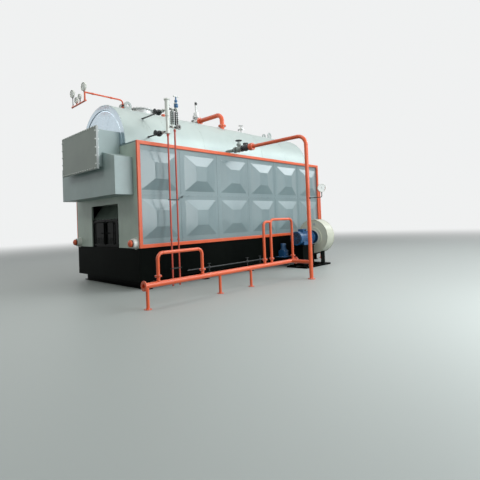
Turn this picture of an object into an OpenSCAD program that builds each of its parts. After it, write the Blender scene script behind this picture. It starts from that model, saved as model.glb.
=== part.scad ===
// Water-tube boiler with a chain grate base, a horizontal steam drum and its pipework.
// X runs along the boiler with the front at -X, Z is up, the floor is z = 0.
// The origin lies under the middle skid beam, on the centre line.

/* [Casing] */
// Width of the casing
case_w = 3800; // [3600:50:4200]
// Height of the casing's underside above the floor
case_z0 = 1145; // [1100:5:1200]
// Height of the casing's top above the floor
case_top = 4090; // [4060:10:4200]
// Thickness of the insulated casing walls
wall_t = 60; // [40:5:80]
// Thickness of the casing roof
roof_t = 40; // [20:5:60]

/* [Pressed panels] */
// Number of pressed panels along the side
panel_n = 6; // [5:1:7]
// Distance from one panel to the next
panel_pitch = 1500; // [1450:10:1600]
// Width of the flat strip between two panels
rib_w = 260; // [240:5:320]
// Height of the flat strip above and below each panel
rib_h = 248; // [230:2:300]
// Width of a panel's flat top
panel_top_w = 430; // [300:10:600]
// Height of a panel's flat top
panel_top_h = 460; // [300:10:600]
// How far a panel's flat top stands out
panel_d = 90; // [40:5:110]

/* [Base] */
// Height of the transverse skid beams
beam_h = 240; // [180:10:300]
// Width of a skid beam's flanges
beam_w = 200; // [150:10:260]
// Thickness of a skid beam's flanges
beam_flange = 24; // [16:2:30]
// Thickness of a skid beam's web
beam_web = 30; // [20:2:40]
// Number of skid beams, odd so that one lies under the middle
beam_n = 5; // [3:2:7]
// Thickness of the base plates
base_t = 40; // [25:5:60]
// Thickness of the grate's carrying deck
deck_t = 60; // [40:5:80]
// Depth of the grate below the casing's underside
deck_drop = 60; // [50:5:100]

/* [Orange frame] */
// Width of the frame bars
trim_w = 100; // [70:5:110]
// How far the frame bars stand out from the side
trim_d = 60; // [30:5:80]

/* [Drum] */
// Outer radius of the drum's cladding
drum_r = 1370; // [1300:10:1450]
// Thickness of the drum's cladding
drum_t = 40; // [30:5:60]
// Depth of a dished head inside the cladding
head_d = 120; // [60:10:200]
// Thickness of a dished head
head_t = 20; // [12:1:30]

/* [Front boxes] */
// How far the lower box stands out from the front wall
low_d = 535; // [400:5:600]
// Width of the lower box
low_w = 3420; // [3200:10:3500]
// Depth of the lower box's underside below the casing's top
low_bottom = 1470; // [1400:10:1520]
// Depth of the lower box's outer corners below the casing's top
low_corner = 440; // [360:10:540]
// Rise of the lower box's sloping shoulders
shoulder_rise = 180; // [100:10:240]
// How far the upper box stands out from the front wall
up_d = 710; // [640:2:780]
// Width of the upper box
up_w = 2130; // [1900:10:2300]
// Depth of the upper box's underside below the casing's top
up_bottom = 660; // [600:10:700]
// Rise of the upper box's top above the casing's top
up_rise = 370; // [300:10:500]
// How far the cover and its flange reach past the upper box all round
cover_lip = 75; // [50:5:100]
// Thickness of the cover
cover_t = 30; // [16:1:40]
// Thickness of the flange behind the cover
flange_t = 36; // [16:1:44]

/* [Furnace front] */
// Width of the opening in the front wall
door_open_w = 1680; // [1560:10:1800]
// Height of the opening in the front wall
door_open_h = 1275; // [1150:5:1300]
// Width of the doorway between the furnace's jambs
doorway_w = 1460; // [1300:10:1480]
// Height of the top of the doorway above the casing's underside
doorway_h = 785; // [700:5:800]
// Thickness of the plate that the doors hang on
front_plate_t = 40; // [30:5:50]
// Thickness of a door leaf
leaf_t = 22; // [16:1:24]
// Lap of a door leaf past the doorway
leaf_lap = 30; // [20:5:40]
// Radius of a hinge pin
pin_r = 12; // [10:1:14]
// Radial clearance of a hinge pin in its tube
pin_gap = 0.08; // [0.03:0.01:0.1]
// Running gap between a door and what it swings past
door_gap = 6; // [5:0.5:8]

/* [Level gauge] */
// Distance of the water column from the front wall
column_x = 790; // [700:10:900]
// Distance of the water column from the casing side
column_out = 400; // [360:10:460]
// Rise of the water column's foot above the casing's top
column_rise = 200; // [180:5:240]
// Length of the water column
column_len = 1000; // [960:10:1060]
// Distance of the level gauge from the water column
gauge_pitch = 240; // [220:5:260]

/* [Gauge line] */
// Distance of the impulse nozzle from the front wall
impulse_x = 745; // [700:5:800]
// Rise of the impulse pipe above the drum
impulse_rise = 330; // [300:5:360]
// How far the impulse pipe reaches in front of the front wall
impulse_reach = 490; // [450:10:560]
// Drop of the gauge bar below the impulse pipe
bar_drop = 260; // [220:10:280]
// Radius of the impulse pipe
impulse_r = 24; // [18:1:30]

/* [Steam line] */
// Outer radius of the steam pipe
steam_r = 84; // [80:1:90]
// Bore radius of the steam outlet
steam_bore_r = 75; // [70:1:78]
// Distance of the steam nozzle from the front wall
steam_x = 4600; // [4400:10:5000]
// Distance of the steam nozzle from the centre line
steam_out = 550; // [500:10:600]
// Rise of the steam pipe's centre line above the drum
steam_rise = 440; // [420:5:500]
// Length of the steam pipe across the drum
steam_run = 1300; // [1200:10:1400]
// Bend radius of the steam pipe
steam_bend = 250; // [220:10:280]

/* [Feed line] */
// Outer radius of the feed pipe
feed_r = 57; // [50:1:60]
// Rise of the feed pipe's centre line above the casing's top
feed_rise = 170; // [150:5:200]
// Distance of the feed line from the front wall
feed_x = 4000; // [3900:10:4100]
// Distance of the feed downcomer from the casing side
feed_out = 2800; // [2700:10:2900]
// Bend radius of the feed pipe
feed_bend = 300; // [240:10:340]
// Length of the globe valve, face to face
valve_len = 330; // [310:5:350]
// Length of the check valve, face to face
check_len = 350; // [330:5:370]

/* [Feed header] */
// Distance of the header from the casing side
header_out = 2100; // [2000:10:2200]
// Height of the header's centre line
header_z = 500; // [450:10:560]
// Outer radius of the header
header_r = 60; // [56:1:64]
// Bore radius of the header
header_bore_r = 50; // [46:1:52]
// Outer radius of the loop pipes
loop_r = 38; // [30:1:42]
// Bend radius of the loop pipes
loop_bend = 130; // [110:5:150]
// Height of the tall loop
loop_top = 1790; // [1750:10:1850]
// Height of the front loop
front_loop_top = 1160; // [1100:10:1250]

/* [Fan] */
// Radius of the fan scroll at its tongue
fan_r = 600; // [580:5:620]
// Growth of the scroll's radius over a full turn
fan_grow = 98; // [60:2:120]
// Width of the fan scroll along its axis
fan_w = 470; // [420:10:520]
// Distance of the fan's front face from the front wall
fan_x = 7000; // [6900:10:7100]
// Distance of the fan's axis from the casing side
fan_out = 960; // [940:10:1000]
// Height of the fan's axis
fan_z = 1068; // [1040:4:1100]
// Drop of the scroll's mouth below its axis
mouth_drop = 520; // [500:5:540]
// Thickness of the fan's sheet
fan_t = 12; // [8:1:16]
// Radius of the fan's air inlet
inlet_r = 300; // [280:5:310]
// Radius of the fan motor over its fins
motor_r = 250; // [230:5:260]
// Length of the fan motor
motor_len = 870; // [800:10:900]

/* [Flue] */
// Radius of the flue outlet's bore
flue_r = 350; // [300:10:400]
// Height of the flue outlet's axis
flue_z = 3200; // [3000:10:3300]

/* [Hidden] */
$fn = 48;
seat = 0.3;
drum_seat = 0.9;
drum_fn = 240;
case_len = panel_n * panel_pitch;
x_front = -case_len / 2;
x_rear = case_len / 2;
y_side = case_w / 2;
drum_z = case_top;
drum_top = drum_z + drum_r;
low_x = x_front - low_d;
low_z0 = case_top - low_bottom;
low_z1 = case_top - low_corner;
up_x = x_front - up_d;
up_z0 = case_top - up_bottom;
up_z1 = case_top + up_rise;
panel_w = panel_pitch - rib_w;
panel_h = (case_top - case_z0 - 3 * rib_h) / 2;
door_open_z1 = case_z0 + door_open_h;
doorway_z1 = case_z0 + doorway_h;
column_z0 = case_top + column_rise;
column_z1 = column_z0 + column_len;
impulse_z = drum_top + impulse_rise;
bar_z = impulse_z - bar_drop;
steam_z = drum_top + steam_rise;
feed_z = case_top + feed_rise;

panel_paint = "slategray";
front_paint = "#6e786f";
orange = "orangered";
dark = "#151a17";
cream = "beige";

// Straight round pieces that start at a point and run along one axis.
module rod_x(p, len, r) { translate(p) rotate([0, 90, 0]) cylinder(r = r, h = len); }
module rod_y(p, len, r) { translate(p) rotate([-90, 0, 0]) cylinder(r = r, h = len); }
module rod_z(p, len, r) { translate(p) cylinder(r = r, h = len); }
module ball(p, r) { translate(p) sphere(r = r); }

// A box given by its low and high corners.
module block(lo, hi) { translate(lo) cube([hi[0] - lo[0], hi[1] - lo[1], hi[2] - lo[2]]); }

// Quarter bends round the origin, named by the sides that they join.
module bend(r, radius) { rotate_extrude(angle = 90) translate([radius, 0]) circle(r = r); }
module bend_out_up(p, r, radius) { translate(p) rotate([90, 0, -90]) bend(r, radius); }
module bend_left_up(p, r, radius) { translate(p) rotate([90, 0, 180]) bend(r, radius); }
module bend_right_up(p, r, radius) { translate(p) rotate([90, 0, 0]) bend(r, radius); }

// A ring of bolt holes along +Z, none of them on the vertical.
module bolt_holes(pcd, n, r, h) {
    for (i = [0 : n - 1]) rotate([0, 0, (i + 0.5) * 360 / n])
        translate([pcd / 2, 0, 0]) cylinder(r = r, h = h);
}

// Cuts a piece to the round of the drum's cladding, so that it seats on it.
module on_drum() {
    difference() {
        children();
        rod_x([x_front - 1, 0, drum_z], case_len + 2, drum_r + drum_seat, $fn = drum_fn);
    }
}

// A handwheel lying flat, with its centre at the origin.
module handwheel(r, rim) {
    rotate_extrude() translate([r - rim, 0]) circle(r = rim, $fn = 16);
    for (a = [0, 120, 240]) rotate([0, 0, a]) rotate([0, 90, 0])
        cylinder(r = rim * 0.7, h = r - rim);
    translate([0, 0, -rim]) cylinder(r = rim * 2.2, h = rim * 2);
}

// A globe valve along +Y, face to face from 0 to len, with its wheel at height rise.
module globe_valve(r, len, rise, wheel_r) {
    face_t = len * 0.1;
    for (y = [0, len - face_t]) rod_y([0, y, 0], face_t, r * 1.85);
    rod_y([0, 0, 0], len, r);
    translate([0, len / 2, 0]) {
        sphere(r = len * 0.32);
        cylinder(r = r * 0.9, h = len * 0.55);
        for (z = [len * 0.4, len * 0.5]) translate([0, 0, z]) cylinder(r = r * 1.4, h = len * 0.08);
        for (s = [-1, 1]) translate([s * r * 0.75, 0, len * 0.5])
            cylinder(r = r * 0.16, h = rise - wheel_r * 0.3 - len * 0.5);
        translate([0, 0, rise - wheel_r * 0.45]) cylinder(r = r * 0.95, h = wheel_r * 0.25);
        cylinder(r = r * 0.2, h = rise + wheel_r * 0.3);
        translate([0, 0, rise]) handwheel(wheel_r, wheel_r * 0.11);
    }
}

// Transverse I beams that carry the base and stand on the floor.
beam_inset = 300;
module skid_beams() {
    color(dark) for (i = [0 : beam_n - 1]) {
        x = (i - (beam_n - 1) / 2) * (case_len - 2 * beam_inset) / (beam_n - 1);
        block([x - beam_w / 2, -y_side, 0], [x + beam_w / 2, y_side, beam_flange]);
        block([x - beam_w / 2, -y_side, beam_h - beam_flange], [x + beam_w / 2, y_side, beam_h]);
        block([x - beam_web / 2, -y_side, 0], [x + beam_web / 2, y_side, beam_h]);
    }
}

// Black plates round the chain grate, the ends between the sides' own planes.
module base_sides() {
    color(dark) for (s = [0, 1]) mirror([0, s, 0])
        block([x_front + base_t, -y_side, beam_h], [x_rear - base_t, -y_side + base_t, case_z0]);
}
module base_ends() {
    color(dark) for (s = [0, 1]) mirror([s, 0, 0])
        block([x_front, -y_side, beam_h], [x_front + base_t, y_side, case_z0]);
}

// The grate's carrying deck inside the base.
deck_z = case_z0 - deck_drop;
module grate_deck() {
    color("dimgray") block([x_front + base_t, -y_side + base_t, deck_z - deck_t],
        [x_rear - base_t, y_side - base_t, deck_z]);
}

// Gearbox and motor that drive the grate, on a bracket low on the base.
drive_x = x_front + 6100;
drive_z = 380;
module grate_drive() {
    bracket_t = 20;
    bracket_d = 420;
    bracket_half = 250;
    box_half = 130;
    box_h = 240;
    box_out = 70;
    shaft_z = drive_z + 140;
    shaft_r = 60;
    lid_r = 85;
    lid_t = 30;
    motor_out = 200;
    motor_h = 190;
    motor_flange_r = 120;
    motor_body_r = 95;
    hood_r = 75;
    color("#1c2a38") {
        block([drive_x - bracket_half, -y_side - bracket_d, drive_z - bracket_t],
            [drive_x + bracket_half, -y_side, drive_z]);
        block([drive_x - box_half, -y_side - box_out - 2 * box_half, drive_z],
            [drive_x + box_half, -y_side - box_out, drive_z + box_h]);
        rod_y([drive_x, -y_side - box_out, shaft_z], box_out, shaft_r);
        rod_y([drive_x, -y_side - box_out - 2 * box_half - lid_t, shaft_z], lid_t, lid_r);
        translate([drive_x, -y_side - motor_out, drive_z + box_h]) {
            cylinder(r = motor_flange_r, h = lid_t);
            cylinder(r = motor_body_r, h = lid_t + motor_h);
            cylinder(r = hood_r, h = 2 * lid_t + motor_h);
        }
    }
}

// One pressed panel standing out along -Y from the plane y = 0, centred on the origin.
module pressed_panel() {
    root = 0.5;
    rotate([90, 0, 0]) hull() {
        translate([-panel_w / 2, -panel_h / 2, 0]) cube([panel_w, panel_h, root]);
        translate([-panel_top_w / 2, -panel_top_h / 2, 0]) cube([panel_top_w, panel_top_h, panel_d]);
    }
}

// A side wall, drawn on the -Y side; the far one is its mirror image.
panel_rows = [case_z0 + rib_h + panel_h / 2, case_top - rib_h - panel_h / 2];
module casing_side() {
    bite = 0.2;
    color(panel_paint) {
        block([x_front + wall_t, -y_side, case_z0], [x_rear - wall_t, -y_side + wall_t, case_top - roof_t]);
        for (i = [0 : panel_n - 1], z = panel_rows)
            translate([(i - (panel_n - 1) / 2) * panel_pitch, -y_side + bite, z]) pressed_panel();
    }
}
module casing_near() { casing_side(); }
module casing_far() { mirror([0, 1, 0]) casing_side(); }

// Front wall with the furnace opening cut through.
door_y = door_open_w / 2;
module casing_front() {
    color(front_paint) difference() {
        block([x_front, -y_side, case_z0], [x_front + wall_t, y_side, case_top - roof_t]);
        block([x_front - 1, -door_y, case_z0 - 1], [x_front + wall_t + 1, door_y, door_open_z1]);
    }
}
module casing_rear() {
    color(panel_paint) difference() {
        block([x_rear - wall_t, -y_side, case_z0], [x_rear, y_side, case_top - roof_t]);
        rod_x([x_rear - wall_t - 1, 0, flue_z], wall_t + 2, flue_r);
    }
}
module casing_roof() {
    color(panel_paint) block([x_front, -y_side, case_top - roof_t], [x_rear, y_side, case_top]);
}

// Orange frame bars round each side.
module side_frames() {
    color(orange) for (s = [0, 1]) mirror([0, s, 0]) {
        for (z = [case_z0, case_top - trim_w])
            block([x_front, -y_side - trim_d, z], [x_rear, -y_side, z + trim_w]);
        for (x = [x_front, x_rear - trim_w])
            block([x, -y_side - trim_d, case_z0], [x + trim_w, -y_side, case_top]);
    }
}

// Half-round cladding over the drum.
module drum_cladding() {
    color("gainsboro") difference() {
        rod_x([x_front, 0, drum_z], case_len, drum_r, $fn = drum_fn);
        rod_x([x_front - 1, 0, drum_z], case_len + 2, drum_r - drum_t, $fn = drum_fn);
        block([x_front - 2, -drum_r - 1, drum_z - drum_r - 1], [x_rear + 2, drum_r + 1, drum_z]);
    }
}

// A dished head just inside the cladding, its middle level with the front edge.
head_edge = drum_r - drum_t - seat;
head_r = (pow(head_edge, 2) + pow(head_d, 2)) / (2 * head_d);
head_set = 2;
module drum_head() {
    color("silver") intersection() {
        translate([x_front + head_set, 0, drum_z]) rotate([0, 90, 0]) rotate_extrude($fn = drum_fn) intersection() {
            difference() {
                translate([0, head_r]) circle(r = head_r, $fn = 1440);
                translate([0, head_r]) circle(r = head_r - head_t, $fn = 1440);
            }
            square([head_edge, head_d + head_t]);
        }
        block([x_front, -drum_r, drum_z + seat], [x_front + head_d + 2 * head_t, drum_r, drum_top]);
    }
}
module drum_front_head() { drum_head(); }
module drum_rear_head() { mirror([1, 0, 0]) drum_head(); }

// Lower smokebox with sloping shoulders either side of the upper one.
module smokebox_lower() {
    half = [[low_w / 2, low_z0], [low_w / 2, low_z1], [up_w / 2, low_z1 + shoulder_rise], [up_w / 2, up_z0]];
    other = [for (i = [len(half) - 1 : -1 : 0]) [-half[i][0], half[i][1]]];
    color("#7c8a86") translate([low_x, 0, 0]) rotate([90, 0, 90])
        linear_extrude(height = low_d) polygon(concat(half, other));
}

// Upper smokebox with a flange that the cover bolts on to.
module smokebox_upper() {
    color("#7c8a86") {
        block([up_x, -up_w / 2, up_z0], [x_front, up_w / 2, up_z1]);
        block([up_x, -up_w / 2 - cover_lip, up_z0 - cover_lip],
            [up_x + flange_t, up_w / 2 + cover_lip, up_z1 + cover_lip]);
    }
}
module smokebox_cover() {
    color("#8a9692") block([up_x - cover_t, -up_w / 2 - cover_lip, up_z0 - cover_lip],
        [up_x, up_w / 2 + cover_lip, up_z1 + cover_lip]);
}

// Plate set back in the furnace opening, with the doorway, hinge lugs and pins.
plate_x = x_front + wall_t;
leaf_z0 = case_z0 + 40;
leaf_z1 = doorway_z1 + leaf_lap;
hinge_x = plate_x - door_gap - leaf_t;
tube_r = 20;
hinge_y = doorway_w / 2 + leaf_lap + tube_r + 4;
lug_h = 20;
pin_len = 60;
plate_z1 = leaf_z1 + door_gap + lug_h;
module hinge_lug(s, z) {
    block([hinge_x, s * hinge_y - tube_r, z], [plate_x + 1, s * hinge_y + tube_r, z + lug_h]);
    rod_z([hinge_x, s * hinge_y, z], lug_h, tube_r);
}
module door_frame() {
    color(dark) {
        difference() {
            block([plate_x, -door_y - wall_t, case_z0], [plate_x + front_plate_t, door_y + wall_t, plate_z1]);
            block([plate_x - 1, -doorway_w / 2, leaf_z0 + leaf_lap],
                [plate_x + front_plate_t + 1, doorway_w / 2, doorway_z1]);
        }
        for (s = [-1, 1]) {
            hinge_lug(s, leaf_z0 - door_gap - lug_h);
            hinge_lug(s, leaf_z1 + door_gap);
            rod_z([hinge_x, s * hinge_y, leaf_z0 - door_gap - lug_h], lug_h + door_gap + pin_len, pin_r);
            rod_z([hinge_x, s * hinge_y, leaf_z1 - pin_len], lug_h + door_gap + pin_len, pin_r);
        }
    }
}

// Outline of a leaf in Y and Z with its outer top corner rounded.
leaf_corner = 90;
module leaf_outline(inset) {
    y0 = -hinge_y + inset;
    y1 = -door_gap / 2 - inset;
    z0 = leaf_z0 + inset;
    z1 = leaf_z1 - inset;
    r = leaf_corner - inset / 2;
    translate([y0 + r, z1 - r]) circle(r = r);
    translate([y0 + r, z0]) square([y1 - y0 - r, z1 - z0]);
    translate([y0, z0]) square([y1 - y0, z1 - z0 - r]);
}

// A door leaf on the -Y side: plate, raised border, hinge tube, latch and its handle.
module door_leaf() {
    border_w = 34;
    border_t = 12;
    latch_z = (leaf_z0 + leaf_z1) / 2;
    latch_y = [-190, -30];
    latch_h = 32;
    latch_t = 22;
    handle_len = 70;
    handle_y = -160;
    handle_r = 12;
    bore_end = 6;
    color("#20262a") difference() {
        union() {
            translate([hinge_x, 0, 0]) rotate([90, 0, 90]) linear_extrude(height = leaf_t) leaf_outline(0);
            translate([hinge_x - border_t, 0, 0]) rotate([90, 0, 90]) linear_extrude(height = border_t + 1)
                difference() {
                    leaf_outline(tube_r + 4);
                    leaf_outline(tube_r + 4 + border_w);
                }
            rod_z([hinge_x, -hinge_y, leaf_z0], leaf_z1 - leaf_z0, tube_r);
            block([hinge_x - latch_t, latch_y[0], latch_z - latch_h / 2],
                [hinge_x + 1, latch_y[1], latch_z + latch_h / 2]);
            rod_x([hinge_x - handle_len, handle_y, latch_z], handle_len + 1, handle_r);
        }
        rod_z([hinge_x, -hinge_y, leaf_z0 - 1], pin_len + bore_end + 1, pin_r + pin_gap);
        rod_z([hinge_x, -hinge_y, leaf_z1 - pin_len - bore_end], pin_len + bore_end + 1, pin_r + pin_gap);
    }
}
module door_near() { door_leaf(); }
module door_far() { mirror([0, 1, 0]) door_leaf(); }

// Sloping plate that closes the opening above the doors and guides the fuel.
module chute_plate() {
    chute_t = 20;
    chute_d = 330;
    top = door_open_z1 + wall_t;
    half = door_y + wall_t;
    slope = chute_d / (door_open_z1 - plate_z1);
    color("#2a3032") translate([0, half, 0]) rotate([90, 0, 0]) linear_extrude(height = 2 * half)
        polygon([[plate_x, plate_z1], [plate_x + chute_t, plate_z1],
            [plate_x + chute_t + slope * (top - plate_z1), top], [plate_x, top],
            [plate_x, door_open_z1], [plate_x + chute_d, door_open_z1]]);
}

// Ends of the lower side headers on the front and rear walls, with their hand-hole caps.
head_y = y_side - 150;
head_z = case_z0 + 140;
head_end_r = 135;
head_end_len = 130;
cap_r = 88;
cap_len = 90;
knob_r = 24;
knob_len = 20;
module header_ends() {
    color("white") for (s = [-1, 1], m = [0, 1]) mirror([m, 0, 0])
        rod_x([x_front - head_end_len, s * head_y, head_z], head_end_len, head_end_r);
}
module header_caps() {
    color(orange) for (s = [-1, 1], m = [0, 1]) mirror([m, 0, 0]) {
        rod_x([x_front - head_end_len - cap_len, s * head_y, head_z], cap_len, cap_r);
        rod_x([x_front - head_end_len - cap_len - knob_len, s * head_y, head_z], knob_len, knob_r);
    }
}

// Water column on two arms from the drum, each arm with a shut-off valve and a union.
col_x = x_front + column_x;
col_y = -y_side - column_out;
col_r = 48;
col_top_r = 62;
arm_r = 22;
arm_z = [column_z0 + 85, column_z0 + 695];
module water_column() {
    cap_h = 50;
    foot_h = 30;
    sleeve_z = column_z0 + 500;
    valve_y = -y_side + 10;
    valve_r = 68;
    face_r = 62;
    face_t = 22;
    stem_r = 14;
    stem_len = 150;
    union_y = -y_side - 230;
    union_r = 48;
    union_len = 70;
    color("#c8cdc6") {
        rod_z([col_x, col_y, column_z0], column_len, col_r);
        rod_z([col_x, col_y, sleeve_z], column_z1 - sleeve_z, col_top_r);
        rod_z([col_x, col_y, column_z1 - cap_h], cap_h, col_r * 1.75);
        rod_z([col_x, col_y, column_z0], foot_h, col_r * 1.5);
    }
    color(dark) for (z = arm_z) {
        on_drum() rod_y([col_x, col_y, z], -col_y - drum_r / 3, arm_r);
        ball([col_x, valve_y, z], valve_r);
        for (d = [-valve_r - face_t, valve_r]) rod_y([col_x, valve_y + d, z], face_t, face_r);
        rod_x([col_x - stem_len, valve_y, z], stem_len, stem_r);
        translate([col_x - stem_len + stem_r, valve_y, z]) rotate([0, 90, 0]) handwheel(88, 11);
        rod_y([col_x, union_y, z], union_len, union_r);
    }
}

// Reflex level gauge: two plate bodies with glass slots between cocks, and a blow-off cock on top.
gauge_x = col_x + gauge_pitch;
gauge_tail = 130;
gauge_z = [column_z0 + 285, column_z0 + 670];
gauge_half = 75;
cock_z = [gauge_z[0] - 70, gauge_z[1] + 50];
module level_gauge() {
    body_w = 84;
    body_d = 62;
    slot_w = 24;
    slot_d = 12;
    slot_end = 40;
    cock_r = 20;
    wheel_out = 105;
    wheel_r = 62;
    top_x = gauge_x + gauge_half;
    cap_r = 34;
    cap_h = 90;
    stem_h = 300;
    bar_half = 80;
    bar_r = 12;
    color(dark) {
        for (x = [gauge_x - gauge_half, top_x]) {
            difference() {
                block([x - body_w / 2, col_y - body_d / 2, gauge_z[0]], [x + body_w / 2, col_y + body_d / 2, gauge_z[1]]);
                block([x - slot_w / 2, col_y - body_d / 2 - 1, gauge_z[0] + slot_end],
                    [x + slot_w / 2, col_y - body_d / 2 + slot_d, gauge_z[1] - slot_end]);
            }
            for (z = [cock_z[0], gauge_z[1] - 1]) rod_z([x, col_y, z], gauge_z[0] - cock_z[0] + 1, cock_r);
            ball([x, col_y, cock_z[0]], cock_r * 1.9);
        }
        rod_x([col_x + col_r, col_y, cock_z[0]], gauge_pitch + gauge_half - col_r, cock_r);
        rod_x([col_x + col_top_r, col_y, cock_z[1]], gauge_pitch + gauge_half - col_top_r, cock_r);
        for (x = [gauge_x - gauge_half, top_x]) ball([x, col_y, cock_z[1]], cock_r * 1.9);
        rod_z([gauge_x, col_y, gauge_z[0] - gauge_tail], gauge_tail - 70, cock_r);
        rod_y([top_x, col_y - wheel_out - 5, cock_z[0]], wheel_out + 5, cock_r / 2);
        translate([top_x, col_y - wheel_out, cock_z[0]]) rotate([90, 0, 0]) handwheel(wheel_r, 8);
    }
    color("steelblue") translate([top_x, col_y, cock_z[1] + 60]) {
        translate([0, 0, -60]) cylinder(r = cock_r, h = 61);
        cylinder(r = cap_r, h = cap_h);
        cylinder(r = cock_r * 0.8, h = stem_h);
        rod_x([-bar_half, 0, stem_h + 30], 2 * bar_half, bar_r);
        cylinder(r = bar_r, h = stem_h + 30);
    }
}

// Drain pipes from the column and the gauge down to the floor, each pair held by two clamps on struts.
module drain_strut(z, reach, rise) {
    strut_r = 9;
    span = norm([reach, column_out]);
    difference() {
        translate([gauge_x, col_y, z]) rotate([0, 0, atan2(column_out, reach)])
            rotate([0, 90 - atan2(rise, span), 0]) cylinder(r = strut_r, h = norm([span, rise]) + 60);
        block([gauge_x - 1, -y_side, z - 50], [gauge_x + reach + 100, -y_side + 100, z + rise + 50]);
    }
}
module level_drains() {
    drain_r = 14;
    drain_z0 = 60;
    clamp_z = [540, 2450];
    clamp_half = 22;
    clamp_h = 24;
    color("#8c3b34") {
        rod_z([col_x, col_y, drain_z0], column_z0 - drain_z0, drain_r);
        rod_z([gauge_x, col_y, drain_z0], gauge_z[0] - gauge_tail - drain_z0, drain_r);
        for (z = clamp_z) block([col_x - clamp_half, col_y - clamp_half, z - clamp_h / 2],
            [gauge_x + clamp_half, col_y + clamp_half, z + clamp_h / 2]);
        drain_strut(clamp_z[0], 10, 0);
        drain_strut(clamp_z[1], 480, 120);
    }
}

// Impulse line from the drum top to the gauges in front of the drum.
imp_x = x_front + impulse_x;
imp_front = x_front - impulse_reach;
bar_len = 900;
bar_lap = 60;
impulse_bend = 100;
module gauge_line() {
    pad_r = 100;
    pad_h = 48;
    root = 8;
    stub = 30;
    color(orange) {
        on_drum() {
            rod_z([imp_x, 0, drum_top - root], pad_h, pad_r);
            rod_z([imp_x, 0, drum_top - root], impulse_rise - impulse_bend + root - stub / 2, impulse_r * 1.5);
        }
        rod_z([imp_x, 0, impulse_z - impulse_bend - stub], stub, impulse_r);
        bend_right_up([imp_x - impulse_bend, 0, impulse_z - impulse_bend], impulse_r, impulse_bend);
        rod_x([imp_front, 0, impulse_z], imp_x - impulse_bend - imp_front, impulse_r);
        rod_z([imp_front, 0, bar_z], impulse_z - bar_z, impulse_r);
        rod_y([imp_front, -bar_lap, bar_z], bar_len + bar_lap, impulse_r);
        ball([imp_front, 0, impulse_z], impulse_r);
        ball([imp_front, 0, bar_z], impulse_r);
    }
}

// Round gauges on stems: place along the bar, height above it, and radius.
gauge_places = [[40, 430, 130], [330, 210, 75], [560, 150, 95], [840, 420, 120]];
dial_z = 2640;
dial_r = 120;
dial_reach = 465;
dial_stem = 260;
module dial(p, r, turn) {
    depth = 60;
    bezel = 8;
    translate(p) rotate([0, 0, turn]) {
        rod_x([-depth / 2, 0, 0], depth, r);
        rod_x([-depth / 2 - bezel, 0, 0], bezel, r * 0.96);
    }
}
module pressure_gauges() {
    stem_r = 11;
    color("ivory") {
        for (g = gauge_places) {
            rod_z([imp_front, g[0], bar_z + impulse_r + seat], g[1] - g[2] - impulse_r + 12, stem_r);
            dial([imp_front, g[0], bar_z + g[1]], g[2], 0);
        }
        x = x_front + feed_x;
        y = -y_side - feed_out;
        difference() {
            rod_y([x, y - dial_reach, dial_z - dial_stem], dial_reach, stem_r);
            rod_z([x, y, dial_z - 2 * dial_stem], 2 * dial_stem, feed_r + seat);
        }
        rod_z([x, y - dial_reach, dial_z - dial_stem], dial_stem - dial_r / 2, stem_r);
        ball([x, y - dial_reach, dial_z - dial_stem], stem_r);
        dial([x, y - dial_reach, dial_z], dial_r, 45);
    }
}

// Steam outlet: nozzle with its flange, an elbow and the pipe across the drum, and a blanked nozzle in front.
st_x = x_front + steam_x;
steam_flange_z = round(drum_z + sqrt(pow(drum_r, 2) - pow(steam_out, 2))) + 70;
blank_x = x_front + 2300;
module steam_pipe() {
    foot = 140;
    face_t = 28;
    face_gap = 4;
    blank_r = 44;
    blank_face_r = 78;
    blank_h = 120;
    end_face_t = 40;
    end_face_r = 145;
    color(orange) {
        on_drum() rod_z([st_x, -steam_out, steam_flange_z - foot],
            steam_z - steam_bend - steam_flange_z + foot, steam_r);
        for (z = [0, face_t + face_gap]) rod_z([st_x, -steam_out, steam_flange_z + z], face_t, steam_r * 1.75);
        bend_out_up([st_x, -steam_out + steam_bend, steam_z - steam_bend], steam_r, steam_bend);
        rod_y([st_x, -steam_out + steam_bend, steam_z], steam_run - steam_bend, steam_r);
        rod_y([st_x, -steam_out + steam_run - end_face_t, steam_z], end_face_t, end_face_r);
        on_drum() rod_z([blank_x, 0, drum_top - foot], foot + blank_h, blank_r);
        for (z = [0, face_t - 4]) rod_z([blank_x, 0, drum_top + blank_h - z], face_t - 8, blank_face_r);
    }
}

// Stop valve that closes the steam line, its outlet flange drilled for the main.
stop_len = 400;
module steam_valve() {
    face_t = 40;
    face_r = 145;
    neck_r = 90;
    body_r = 130;
    body_top = 170;
    cover_r = 150;
    bonnet_r = 112;
    bonnet_z = 250;
    bonnet_top = 380;
    stem_r = 42;
    stem_top = 700;
    cap_r = 52;
    cap_h = 130;
    color("silver") translate([st_x, -steam_out + steam_run, steam_z]) difference() {
        union() {
            for (y = [0, stop_len - face_t]) rod_y([0, y, 0], face_t, face_r);
            rod_y([0, 0, 0], stop_len, neck_r);
            translate([0, stop_len / 2, 0]) {
                sphere(r = body_r);
                cylinder(r = neck_r, h = bonnet_z);
                for (z = [0, face_t + 2]) translate([0, 0, body_top + z]) cylinder(r = cover_r, h = face_t);
                translate([0, 0, bonnet_z - 1]) cylinder(r = bonnet_r, h = bonnet_top - bonnet_z);
                cylinder(r = stem_r, h = stem_top + 1);
                translate([0, 0, stem_top]) cylinder(r = cap_r, h = cap_h);
            }
        }
        rod_y([0, stop_len - 150, 0], 151, steam_bore_r);
        translate([0, stop_len - face_t - 1, 0]) rotate([-90, 0, 0]) bolt_holes(240, 8, 11, face_t + 2);
    }
}

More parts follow.
